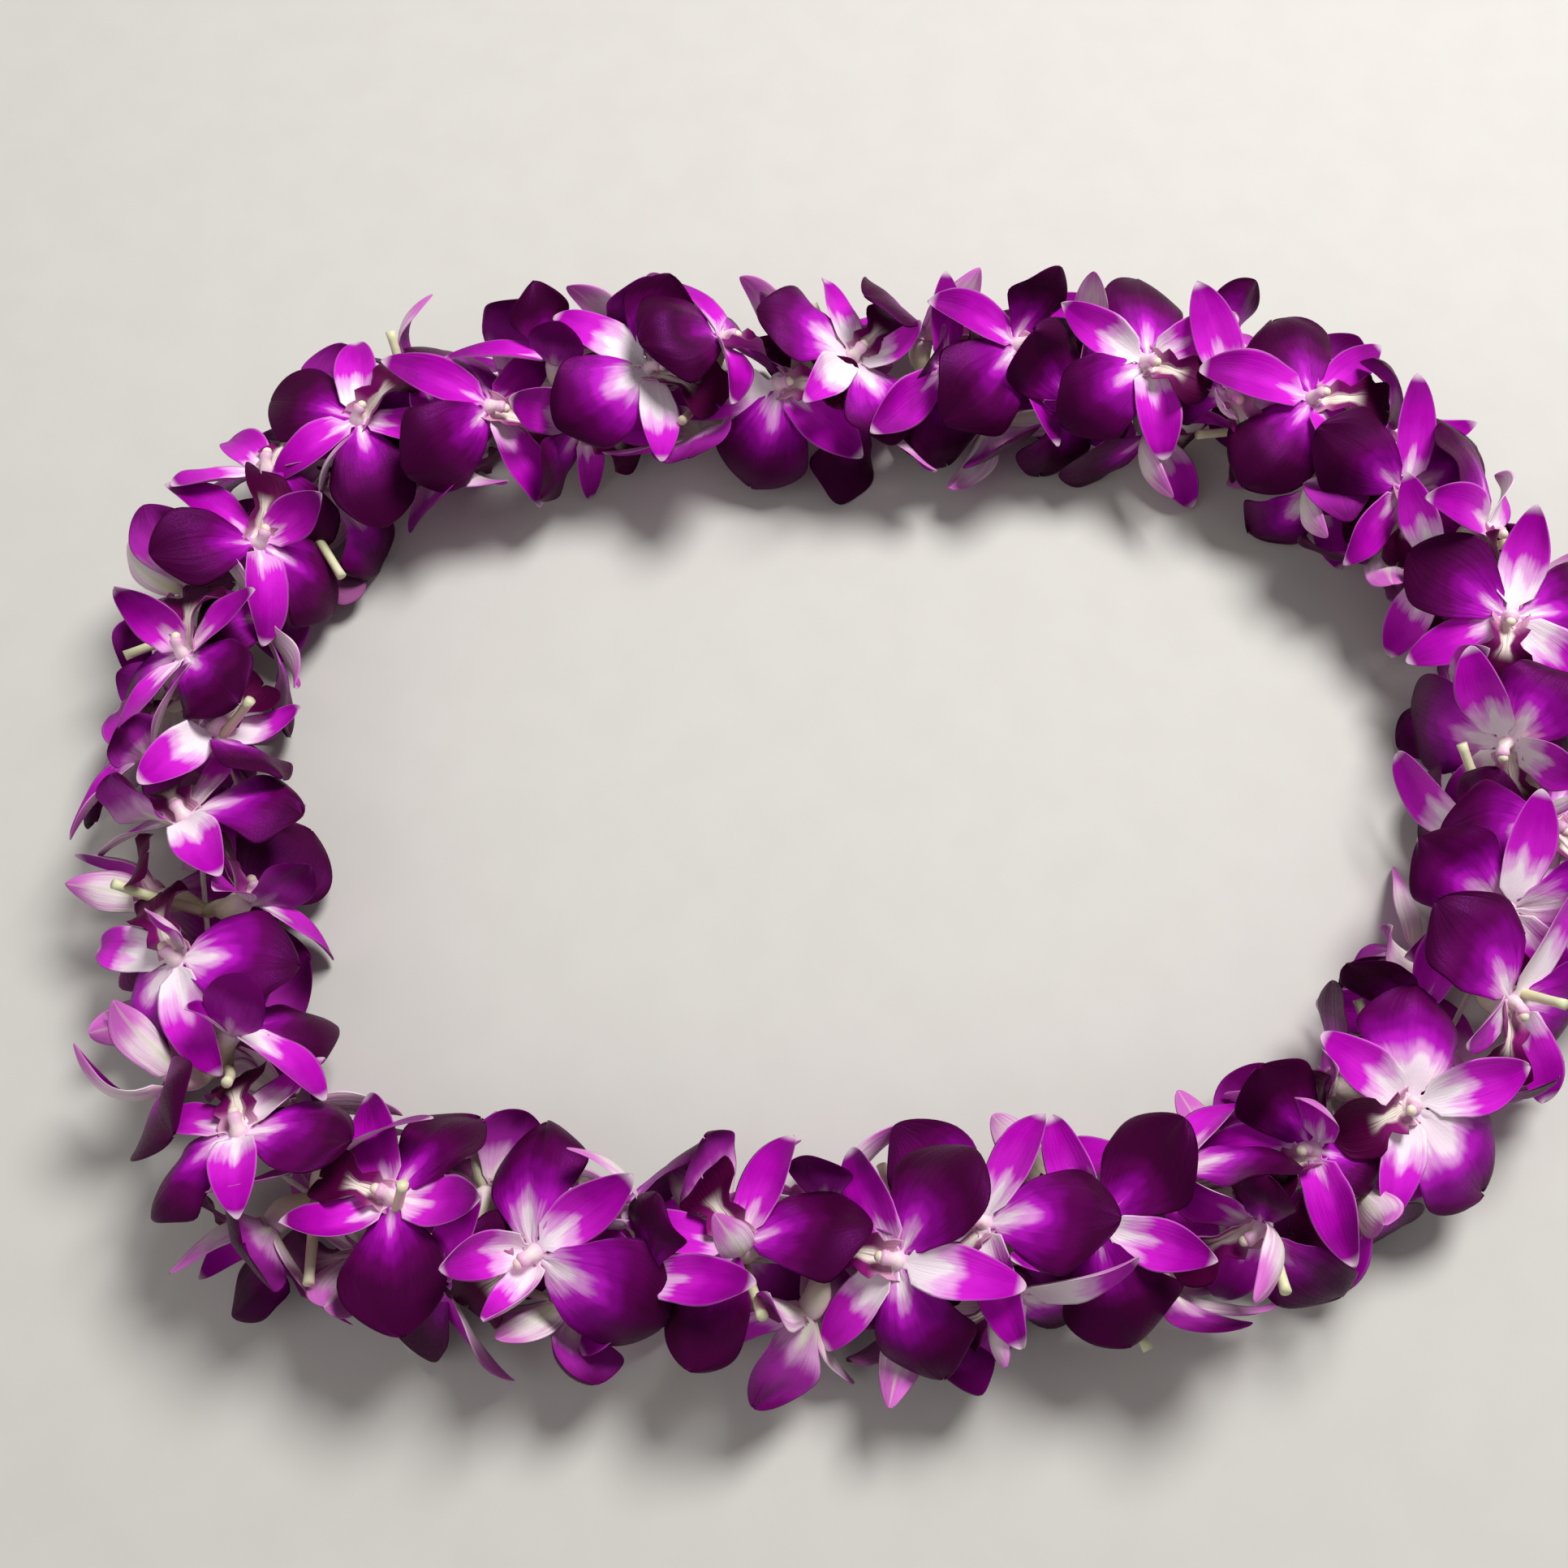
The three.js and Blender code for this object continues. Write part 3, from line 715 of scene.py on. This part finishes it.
def grow_into_room(sheet, laid):
    """Lets a laid lobe grow as far as it crosses no more than it did and stays within the crowd."""
    apart_from = (sheet.bloom.number, sheet.number)
    allowed = laid.crossings(sheet.tree, sheet.box, apart_from)
    furthest = max(ROOMY_REACH, reach(sheet.middle))
    lowest = min(ROOMY_FLOOR, sheet.middle[..., 2].min())
    lobe = sheet.lobe
    for share in GROWTH_SHARES:
        size = 1 + (ROOMY_SIZE / lobe.shorter - 1) * share
        grown = SimpleNamespace(**{**vars(lobe), "length": lobe.length * size, "width": lobe.width * size})
        middle = lobe_surface(sheet.bloom, grown, sheet.u, sheet.v, sheet.wave, sheet.share)
        if reach(middle) > furthest or middle[..., 2].min() < lowest:
            continue
        tree, box = beyond_root(middle, sheet.v)
        if laid.crossings(tree, box, apart_from) <= allowed:
            sheet.middle = middle
            laid.replace(sheet.number, tree, box)
            return


def add_lobe(skin, sheet):
    """A laid lobe as a thin sheet, thinnest at its sides and its tip."""
    fine = FINE[sheet.lobe.kind.form]
    u, v = sheet.u, sheet.v
    middle = lifted(sheet.middle, FLOOR_GAP + fine.thickness / 2)
    thickness = fine.thickness * (1 - SIDE_THINNING * np.abs(u) ** 3) * (1 - TIP_THINNING * v)
    skin.add_sheet(
        middle, sheet_normals(middle), thickness,
        along=v, across=u, tone=sheet.tone, shade=sheet.bloom.shade, kind=fine.kind,
    )


def rings_along(centres, radii, sides, towards, flatten=1.0):
    """Rings of points about a line of centres; towards is any direction that isn't along it."""
    centres = np.asarray(centres, dtype=float)
    directions = np.gradient(centres, axis=0)
    angles = np.arange(sides) / sides * FULL_TURN
    rings = []
    for centre, direction, radius in zip(centres, directions, radii):
        ahead = unit(direction)
        first = unit(towards - ahead * np.dot(towards, ahead))
        second = np.cross(ahead, first)
        ring = np.outer(np.cos(angles), first) * radius * flatten + np.outer(np.sin(angles), second) * radius
        rings.append(centre + ring)
    return rings


def curve_through(points, count):
    """Points along a smooth curve through a few given ones."""
    points = np.asarray(points, dtype=float)
    padded = np.concatenate([[2 * points[0] - points[1]], points, [2 * points[-1] - points[-2]]])
    places = np.linspace(0, len(points) - 1, count)
    curve = []
    for place in places:
        first = min(int(place), len(points) - 2)
        curve.append(smooth_between(*padded[first:first + 4], place - first))
    return np.array(curve)


# The column, its cap and the neck, in the blossom's own axes and millimetres
COLUMN_LINE = [(0.4, 0, -0.8), (0.2, 0, 1.4), (-0.5, 0, 3.1), (-1.8, 0, 4.6)]
COLUMN_RINGS = 9
COLUMN_SIDES = 12
COLUMN_RADIUS = 2.5
COLUMN_WAIST = 1.0
COLUMN_HEAD = 0.3
COLUMN_TIP = 1.2
COLUMN_FLATNESS = 0.85
CAP_CENTRE = (-2.0, 0, 4.5)
CAP_RINGS = 7
CAP_SIDES = 10
CAP_HALF_LENGTH = 1.2
CAP_RADIUS = 1.35
CAP_POLE = 0.08
NECK_TOP = (0.1, 0, -0.2)
CHIN_CENTRE = (-1.2, 0, -4.5)
NECK_RINGS = 12
NECK_SIDES = 12
NECK_RADIUS = 3.2
NECK_NARROWING = 1.3
NECK_TOP_RADIUS = 2.6
NECK_END_RADIUS = 1.3
NECK_BACK = 0.6
NECK_PAST_THREAD = 0.6


def add_column(skin, bloom, draws):
    """The short arched column over the lip, with its cap."""
    line = to_world(bloom, curve_through(COLUMN_LINE, COLUMN_RINGS))
    share = np.linspace(0, 1, COLUMN_RINGS)
    narrowed = COLUMN_WAIST * smooth_step(0, 0.55, share)
    radii = COLUMN_RADIUS - narrowed + COLUMN_HEAD * smooth_step(0.55, 0.85, share)
    radii[-1] = COLUMN_TIP
    tone = draws.share()
    rings = rings_along(line, radii, COLUMN_SIDES, bloom.dorsal, flatten=COLUMN_FLATNESS)
    skin.add_tube(rings, along=share, tone=tone, part=0.0)
    turns = np.linspace(CAP_POLE, 1 - CAP_POLE, CAP_RINGS) * math.pi
    centre = to_world(bloom, CAP_CENTRE)
    line = [centre - bloom.axis * math.cos(t) * CAP_HALF_LENGTH for t in turns]
    rings = rings_along(line, np.sin(turns) * CAP_RADIUS, CAP_SIDES, bloom.dorsal)
    skin.add_tube(rings, along=0.5, tone=tone, part=1.0)


def add_neck(skin, bloom, draws):
    """The chin and the pierced neck behind a blossom, down to the thread."""
    top = to_world(bloom, NECK_TOP)
    chin = to_world(bloom, CHIN_CENTRE)
    halfway = (chin + bloom.knot) / 2 - bloom.forward * NECK_BACK
    end = bloom.knot - unit(halfway - bloom.knot) * NECK_PAST_THREAD
    line = curve_through([top, chin, halfway, end], NECK_RINGS)
    share = np.linspace(0, 1, NECK_RINGS)
    radii = NECK_RADIUS - NECK_NARROWING * smooth_step(0.3, 0.85, share)
    radii[0] = NECK_TOP_RADIUS
    radii[-1] = NECK_END_RADIUS
    rings = rings_along(line, radii, NECK_SIDES, bloom.dorsal)
    skin.add_tube(rings, along=share, tone=draws.share(), part=2.0)


# The cut stalks, in millimetres: how far each may lean from straight out, and how clear it has to run
STALK_COUNT = 14
STALK_TRIES = 40
STALK_LENGTH = 23
STALK_SHORTEST = 0.85
STALK_LENGTH_SPREAD = 0.35
STALK_LEAN = 1.2
STALK_RISE = 0.7
STALK_BOW = 6
STALK_RADIUS = 1.3
STALK_RINGS = 12
STALK_SIDES = 10
STALK_FREE_FROM = 0.5
STALK_FROM_HEARTS = 10
STALK_FROM_FLOOR = 1


def stalk_line(bloom, draws):
    """A cut stalk's curve, from a blossom's neck past the thread and out on the other side."""
    leaning = bloom.forward * draws.spread(STALK_LEAN)
    rising = UP * (STALK_RISE + draws.spread(STALK_RISE))
    sideways = np.cross(bloom.forward, UP) * draws.spread(STALK_LEAN)
    away = unit(leaning - bloom.out + rising + sideways)
    bow = unit(np.cross(away, bloom.forward) + UP * 0.3) * draws.spread(STALK_BOW)
    length = STALK_LENGTH * (STALK_SHORTEST + STALK_LENGTH_SPREAD * draws.share())
    points = [bloom.knot + away * length * t + bow * t * (1 - t) for t in (0.05, 0.4, 0.7, 1)]
    return curve_through(points, STALK_RINGS)


def is_free(line, tree, hearts):
    """Whether the outer part of a stalk runs clear of every petal and heart, and its end shows."""
    if np.linalg.norm(hearts - line[-1], axis=1).min() < STALK_FROM_HEARTS:
        return False
    outer = line[int(len(line) * STALK_FREE_FROM):] * MM
    for start, end in zip(outer, outer[1:]):
        step = Vector(end - start)
        if tree.ray_cast(Vector(start), step.normalized(), step.length)[0]:
            return False
    if tree.find_nearest(Vector(outer[-1]))[3] < STALK_RADIUS * MM:
        return False
    return tree.ray_cast(Vector(outer[-1]), Vector(UP))[0] is None


def add_stalks(skin, blooms, tree, draws):
    """A few cut stalks that show among the petals, spread round the ring."""
    placed = []
    apart = RUN_LENGTH / STALK_COUNT * 0.5
    hearts = np.array([bloom.heart for bloom in blooms])
    for bloom in blooms:
        along = bloom.number * PITCH_ALONG_THREAD
        if placed and along - placed[-1] < apart:
            continue
        for _ in range(STALK_TRIES):
            line = stalk_line(bloom, draws)
            if line[:, 2].min() > STALK_RADIUS + STALK_FROM_FLOOR and is_free(line, tree, hearts):
                share = np.linspace(0, 1, len(line))
                radii = STALK_RADIUS * (1.1 - 0.2 * share + 0.15 * smooth_step(0.85, 1, share))
                rings = rings_along(line, radii, STALK_SIDES, bloom.forward + UP * 0.01)
                skin.add_tube(rings, along=share, tone=draws.share())
                placed.append(along)
                break


# The thread's twist, in millimetres, and how deep the grooves between its plies are
THREAD_STEP = 0.8
THREAD_TWIST_LENGTH = 4.6
THREAD_PLIES = 3
THREAD_SIDES = 12
THREAD_GROOVE = 0.2


def add_thread(skin):
    """The twisted cotton thread, closed round the whole ring."""
    count = int(RUN_LENGTH / THREAD_STEP)
    angles = np.arange(THREAD_SIDES) / THREAD_SIDES * FULL_TURN
    rings = []
    for i in range(count):
        distance = i / count * RUN_LENGTH
        ahead = thread_direction(distance)
        outside = np.cross(ahead, UP)
        phase = FULL_TURN * round(RUN_LENGTH / THREAD_TWIST_LENGTH) * i / count / THREAD_PLIES
        bulge = np.abs(np.cos((angles - phase) * THREAD_PLIES / 2))
        radius = THREAD_RADIUS * (1 - THREAD_GROOVE + THREAD_GROOVE * bulge)
        ring = np.outer(np.cos(angles) * radius, outside) + np.outer(np.sin(angles) * radius, UP)
        rings.append(thread_point(distance) + ring)
    numbers = skin.add(np.array(rings)).reshape(count, THREAD_SIDES)
    numbers = np.concatenate([numbers, numbers[:1]], axis=0)
    skin.add_grid(np.concatenate([numbers, numbers[:, :1]], axis=1)[::-1])


class Shading:
    """A material's node tree, with one short call for each kind of node."""

    def __init__(self, name):
        self.material = bpy.data.materials.new(name)
        self.material.use_nodes = True
        self.nodes = self.material.node_tree.nodes
        self.links = self.material.node_tree.links
        self.shader = self.nodes["Principled BSDF"]

    def set(self, socket, value):
        if isinstance(value, bpy.types.NodeSocket):
            self.links.new(value, socket)
        else:
            socket.default_value = value

    def attribute(self, name):
        node = self.nodes.new("ShaderNodeAttribute")
        node.attribute_name = name
        return node.outputs["Fac"]

    def math(self, operation, first, second=0.0, clamp=False):
        node = self.nodes.new("ShaderNodeMath")
        node.operation = operation
        node.use_clamp = clamp
        self.set(node.inputs[0], first)
        self.set(node.inputs[1], second)
        return node.outputs[0]

    def between(self, value, low, high, first=0.0, last=1.0):
        """A smooth step from first to last as value goes from low to high."""
        node = self.nodes.new("ShaderNodeMapRange")
        node.interpolation_type = "SMOOTHSTEP"
        for socket, chosen in zip(node.inputs, (value, low, high, first, last)):
            self.set(socket, chosen)
        return node.outputs[0]

    def vector(self, x=0.0, y=0.0, z=0.0):
        node = self.nodes.new("ShaderNodeCombineXYZ")
        for socket, value in zip(node.inputs, (x, y, z)):
            self.set(socket, value)
        return node.outputs[0]

    def place(self):
        return self.nodes.new("ShaderNodeTexCoord").outputs["Object"]

    def noise(self, vector, scale, detail=2.0):
        node = self.nodes.new("ShaderNodeTexNoise")
        self.set(node.inputs["Vector"], vector)
        node.inputs["Scale"].default_value = scale
        node.inputs["Detail"].default_value = detail
        return node.outputs["Fac"]

    def ramp(self, value, *stops):
        node = self.nodes.new("ShaderNodeValToRGB")
        node.color_ramp.interpolation = "EASE"
        elements = node.color_ramp.elements
        while len(elements) < len(stops):
            elements.new(0.5)
        for element, (place, colour) in zip(elements, stops):
            element.position = place
            element.color = (*colour, 1)
        self.set(node.inputs[0], value)
        return node.outputs[0]

    def mix(self, share, first, second, blend="MIX"):
        node = self.nodes.new("ShaderNodeMix")
        node.data_type = "RGBA"
        node.blend_type = blend
        self.set(node.inputs["Factor"], share)
        colours = [socket for socket in node.inputs if socket.type == "RGBA"]
        for socket, colour in zip(colours, (first, second)):
            self.set(socket, colour if isinstance(colour, bpy.types.NodeSocket) else (*colour, 1))
        return [socket for socket in node.outputs if socket.type == "RGBA"][0]

    def bump(self, height, strength, distance):
        node = self.nodes.new("ShaderNodeBump")
        node.inputs["Strength"].default_value = strength
        node.inputs["Distance"].default_value = distance
        self.set(node.inputs["Height"], height)
        self.set(self.shader.inputs["Normal"], node.outputs[0])

    def finish(self, colour, roughness, **constants):
        self.set(self.shader.inputs["Base Color"], colour)
        self.set(self.shader.inputs["Roughness"], roughness)
        for name, value in constants.items():
            self.shader.inputs[name.replace("_", " ")].default_value = value
        return self.material


def tepal_material():
    """Petals and sepals: white at the root, magenta, then plum, feathered where white meets magenta."""
    s = Shading("tepal")
    along, across, tone = s.attribute("along"), s.attribute("across"), s.attribute("tone")
    shade, kind, back = s.attribute("shade"), s.attribute("kind"), s.attribute("back")
    shift = s.math("MULTIPLY", tone, 40)
    veins = s.noise(s.vector(s.math("MULTIPLY", across, 9), s.math("MULTIPLY", along, 1.4), shift), 1, 3)
    patches = s.noise(s.vector(s.math("MULTIPLY", across, 1.3), s.math("MULTIPLY", along, 2), shift), 1.4, 2)
    rim = s.math("POWER", s.math("ABSOLUTE", across), 2.5)
    feather = s.math("MULTIPLY", s.math("SUBTRACT", veins, 0.5), s.between(along, 0.15, 0.7, 0.24, 0.08))
    place = s.math("ADD", along, feather)
    place = s.math("ADD", place, s.math("MULTIPLY", s.math("SUBTRACT", patches, 0.5), 0.3))
    place = s.math("ADD", place, s.math("MULTIPLY", s.math("SUBTRACT", tone, 0.5), 0.16))
    place = s.math("ADD", place, s.math("MULTIPLY", s.math("SUBTRACT", shade, 0.3), 0.4))
    by_middle = s.between(s.math("ABSOLUTE", across), 0.0, 0.4, 0.17, 0.0)
    flame = s.math("MULTIPLY", by_middle, s.between(along, 0.25, 0.75, 1.0, 0.0))
    place = s.math("SUBTRACT", place, flame)
    petal_place = s.math("ADD", place, s.math("MULTIPLY", rim, 0.22))
    petal_front = s.ramp(
        petal_place,
        (0.03, (0.9, 0.74, 0.84)), (0.16, (0.74, 0.3, 0.7)), (0.31, (0.46, 0.01, 0.48)),
        (0.48, (0.22, 0.002, 0.22)), (0.68, (0.088, 0.001, 0.064)), (0.88, (0.04, 0.001, 0.022)),
    )
    pale = s.between(tone, 0.62, 0.92, 0.0, 0.36)
    sepal_front = s.ramp(
        s.math("SUBTRACT", place, pale),
        (0.02, (0.92, 0.8, 0.86)), (0.18, (0.82, 0.4, 0.77)), (0.34, (0.6, 0.014, 0.57)),
        (0.7, (0.4, 0.002, 0.38)), (1.0, (0.22, 0.001, 0.2)),
    )
    margin = s.between(s.math("ABSOLUTE", across), 0.9, 1.0, 0.0, 0.25)
    sepal_front = s.mix(margin, sepal_front, (0.72, 0.36, 0.66))
    sepal_front = s.mix(s.between(along, 0.9, 0.985, 0.0, 0.7), sepal_front, (0.82, 0.66, 0.74))
    petal_back = s.ramp(
        place,
        (0.04, (0.8, 0.77, 0.64)), (0.28, (0.68, 0.34, 0.62)), (0.55, (0.36, 0.02, 0.34)),
        (1.0, (0.1, 0.001, 0.08)),
    )
    sepal_back = s.ramp(
        place,
        (0.04, (0.76, 0.8, 0.5)), (0.3, (0.86, 0.82, 0.74)), (0.65, (0.85, 0.7, 0.76)),
        (1.0, (0.62, 0.14, 0.55)),
    )
    outer = s.between(s.math("ABSOLUTE", across), 0.2, 1.0, 0.1, 0.9)
    blush = s.math("MULTIPLY", outer, s.between(veins, 0.35, 0.65))
    sepal_back = s.mix(blush, sepal_back, (0.66, 0.2, 0.56))
    keel = s.between(s.math("ABSOLUTE", across), 0.03, 0.16, 0.4, 0.0)
    sepal_back = s.mix(keel, sepal_back, (0.62, 0.7, 0.4))
    front = s.mix(kind, sepal_front, petal_front)
    rear = s.mix(kind, sepal_back, petal_back)
    colour = s.mix(s.between(back, 0.35, 0.65), front, rear)
    grain = s.noise(s.place(), 2600, 2)
    height = s.math("ADD", s.math("MULTIPLY", veins, 0.8), s.math("MULTIPLY", grain, 0.25))
    s.bump(height, 0.5, 0.0004)
    roughness = s.between(grain, 0.3, 0.7, 0.42, 0.58)
    return s.finish(colour, roughness, Specular_IOR_Level=0.3, Specular_Tint=(0.7, 0.06, 0.8, 1))


def lip_material():
    """The lip: dark maroon, with a cream throat that runs out in streaks."""
    s = Shading("lip")
    along, across, tone = s.attribute("along"), s.attribute("across"), s.attribute("tone")
    shift = s.math("MULTIPLY", tone, 40)
    streaks = s.noise(s.vector(s.math("MULTIPLY", across, 12), s.math("MULTIPLY", along, 1.2), shift), 1, 2)
    dark = s.ramp(
        along,
        (0.0, (0.6, 0.3, 0.45)), (0.22, (0.2, 0.006, 0.13)), (0.55, (0.06, 0.0008, 0.03)),
        (1.0, (0.04, 0.0006, 0.02)),
    )
    inside = s.between(s.math("ABSOLUTE", across), 0.16, 0.5, 1.0, 0.0)
    early = s.between(along, 0.32, 0.6, 1.0, 0.0)
    throat = s.math("MULTIPLY", s.math("MULTIPLY", inside, early), s.between(streaks, 0.25, 0.5))
    colour = s.mix(throat, dark, (0.9, 0.83, 0.7))
    colour = s.mix(s.between(s.attribute("back"), 0.4, 0.6, 0.0, 0.4), colour, (0.6, 0.2, 0.5))
    s.bump(streaks, 0.5, 0.0005)
    return s.finish(colour, 0.5, Specular_IOR_Level=0.3, Specular_Tint=(0.6, 0.08, 0.4, 1))


def heart_material():
    """The cream column, its ivory cap, and the neck, magenta at the chin and pale green below."""
    s = Shading("heart")
    along, tone, part = s.attribute("along"), s.attribute("tone"), s.attribute("part")
    blotches = s.noise(s.place(), 900, 2)
    column = s.ramp(along, (0.0, (0.76, 0.42, 0.62)), (0.4, (0.86, 0.72, 0.7)), (1.0, (0.76, 0.42, 0.62)))
    neck = s.ramp(along, (0.0, (0.82, 0.66, 0.7)), (0.35, (0.8, 0.78, 0.56)), (1.0, (0.5, 0.54, 0.24)))
    colour = s.mix(s.between(part, 0.4, 0.6), column, (0.85, 0.78, 0.58))
    colour = s.mix(s.between(part, 1.4, 1.6), colour, neck)
    depth = s.math("ADD", 0.1, s.math("MULTIPLY", tone, 0.25))
    tint = s.math("MULTIPLY", s.between(blotches, 0.4, 0.75), depth)
    colour = s.mix(tint, colour, (0.66, 0.3, 0.54))
    s.bump(blotches, 0.3, 0.0003)
    return s.finish(colour, 0.42, Specular_IOR_Level=0.3)


def stalk_material():
    """Cut flower stalks: pale green, yellower towards the cut end, with fine length grooves."""
    s = Shading("stalk")
    along, tone = s.attribute("along"), s.attribute("tone")
    mottle = s.noise(s.place(), 700, 2)
    colour = s.ramp(
        s.math("ADD", along, s.math("MULTIPLY", s.math("SUBTRACT", mottle, 0.5), 0.3)),
        (0.1, (0.5, 0.42, 0.3)), (0.4, (0.62, 0.64, 0.34)), (0.95, (0.74, 0.76, 0.46)),
    )
    colour = s.mix(s.math("MULTIPLY", tone, 0.25), colour, (0.6, 0.34, 0.4))
    s.bump(mottle, 0.3, 0.0003)
    return s.finish(colour, 0.45, Specular_IOR_Level=0.3)


def thread_material():
    s = Shading("cotton")
    fibres = s.noise(s.place(), 5000, 3)
    colour = s.ramp(fibres, (0.3, (0.62, 0.58, 0.48)), (0.7, (0.86, 0.83, 0.75)))
    s.bump(fibres, 0.5, 0.0003)
    return s.finish(colour, 0.85, Sheen_Weight=0.3)


def floor_material():
    s = Shading("pale_floor")
    speckle = s.noise(s.place(), 60, 4)
    colour = s.ramp(speckle, (0.3, (0.59, 0.57, 0.53)), (0.7, (0.605, 0.585, 0.545)))
    return s.finish(colour, 0.6, Specular_IOR_Level=0.2)


def make_hearts(bloom, laid, draws):
    """A blossom's column and neck, laid as the first surface that its neighbours keep clear of."""
    skin = Skin("along", "tone", "part")
    add_column(skin, bloom, draws)
    add_neck(skin, bloom, draws)
    laid.add(*search_tree(np.concatenate(skin.points), skin.faces))
    return skin


def lay_blossoms(blooms):
    """Lays every blossom's heart, then its lobes, and lets the lobes grow into the room that is left."""
    draws = Draws(LOBE_SEED)
    laid = Laid()
    for bloom in blooms:
        bloom.heart_skin = make_hearts(bloom, laid, draws)
    for bloom in blooms:
        bloom.shade = draws.share()
        bloom.sheets = [lay_lobe(bloom, lobe, laid, draws) for lobe in filter(None, bloom.lobes)]
    for bloom in blooms:
        for sheet in bloom.sheets:
            grow_into_room(sheet, laid)


def make_blossoms(blooms):
    tepal, lip, heart = tepal_material(), lip_material(), heart_material()
    lay_blossoms(blooms)
    pieces = []
    for pair in range(BLOOM_PAIRS):
        tepals = Skin("along", "across", "tone", "shade", "kind", "back")
        lips = Skin("along", "across", "tone", "back")
        hearts = Skin("along", "tone", "part")
        for bloom in blooms[pair * BLOOMS_PER_NODE:(pair + 1) * BLOOMS_PER_NODE]:
            for sheet in bloom.sheets:
                add_lobe(lips if sheet.lobe.kind.form == "lip" else tepals, sheet)
            hearts.join(bloom.heart_skin)
        number = f"{pair + 1:02d}"
        pieces.append(tepals.build(f"tepals_{number}", tepal, node_name(pair)))
        if lips.count:
            pieces.append(lips.build(f"lips_{number}", lip, node_name(pair)))
        pieces.append(hearts.build(f"hearts_{number}", heart, node_name(pair)))
    return pieces


def make_stalks(blooms, pieces):
    points = []
    faces = []
    for piece in pieces:
        first = len(points)
        points.extend(vertex.co for vertex in piece.data.vertices)
        faces.extend([first + corner for corner in face.vertices] for face in piece.data.polygons)
    tree = BVHTree.FromPolygons(points, faces)
    skin = Skin("along", "tone")
    add_stalks(skin, blooms, tree, Draws(STALK_SEED))
    skin.build("cut_stalks", stalk_material(), None)


def make_thread():
    skin = Skin()
    add_thread(skin)
    skin.build("twisted_thread", thread_material(), "thread")


# The floor, the lights and the photo's camera, in metres, watts and degrees
FLOOR_HALF = 6
CAMERA_DISTANCE = 0.4755
VIEW_SHIFT = (-0.002, -0.007, 0)
CAMERA_ELEVATION = 68
CAMERA_WIDTH = 48
KEY_LIGHT = dict(place=(0.45, 0.6, 1.2), size=0.6, power=22.5)
FILL_LIGHT = dict(place=(-0.9, -0.5, 0.9), size=1.2, power=3)
SKY_STRENGTH = 0.225


def make_floor():
    mesh = bpy.data.meshes.new("floor")
    corners = [(-FLOOR_HALF, -FLOOR_HALF), (FLOOR_HALF, -FLOOR_HALF), (FLOOR_HALF, FLOOR_HALF),
               (-FLOOR_HALF, FLOOR_HALF)]
    mesh.from_pydata([(x, y, 0) for x, y in corners], [], [(0, 1, 2, 3)])
    mesh.materials.append(floor_material())
    floor = bpy.data.objects.new("floor", mesh)
    bpy.context.scene.collection.objects.link(floor)


def aimed(thing, place, target):
    thing.location = place
    thing.rotation_euler = (Vector(target) - Vector(place)).to_track_quat("-Z", "Y").to_euler()
    bpy.context.scene.collection.objects.link(thing)


def make_light(name, place, size, power):
    light = bpy.data.lights.new(name, "AREA")
    light.shape = "DISK"
    light.size = size
    light.energy = power
    aimed(bpy.data.objects.new(name, light), place, (0, 0, 0))


def make_camera():
    data = bpy.data.cameras.new("camera")
    data.angle = CAMERA_WIDTH * DEGREE
    camera = bpy.data.objects.new("camera", data)
    elevation = CAMERA_ELEVATION * DEGREE
    target = Vector((RING_SHIFT[0] * MM, RING_SHIFT[1] * MM, 0)) + Vector(VIEW_SHIFT)
    back = Vector((0, -math.cos(elevation), math.sin(elevation)))
    aimed(camera, target + back * CAMERA_DISTANCE, target)
    bpy.context.scene.camera = camera


def make_studio():
    make_floor()
    make_light("key", **KEY_LIGHT)
    make_light("fill", **FILL_LIGHT)
    world = bpy.data.worlds.new("studio")
    world.use_nodes = True
    world.node_tree.nodes["Background"].inputs["Color"].default_value = (1, 1, 1, 1)
    world.node_tree.nodes["Background"].inputs["Strength"].default_value = SKY_STRENGTH
    bpy.context.scene.world = world
    bpy.context.scene.view_settings.view_transform = "Standard"
    make_camera()


make_studio()
blossoms = arrange()
make_stalks(blossoms, make_blossoms(blossoms))
make_thread()
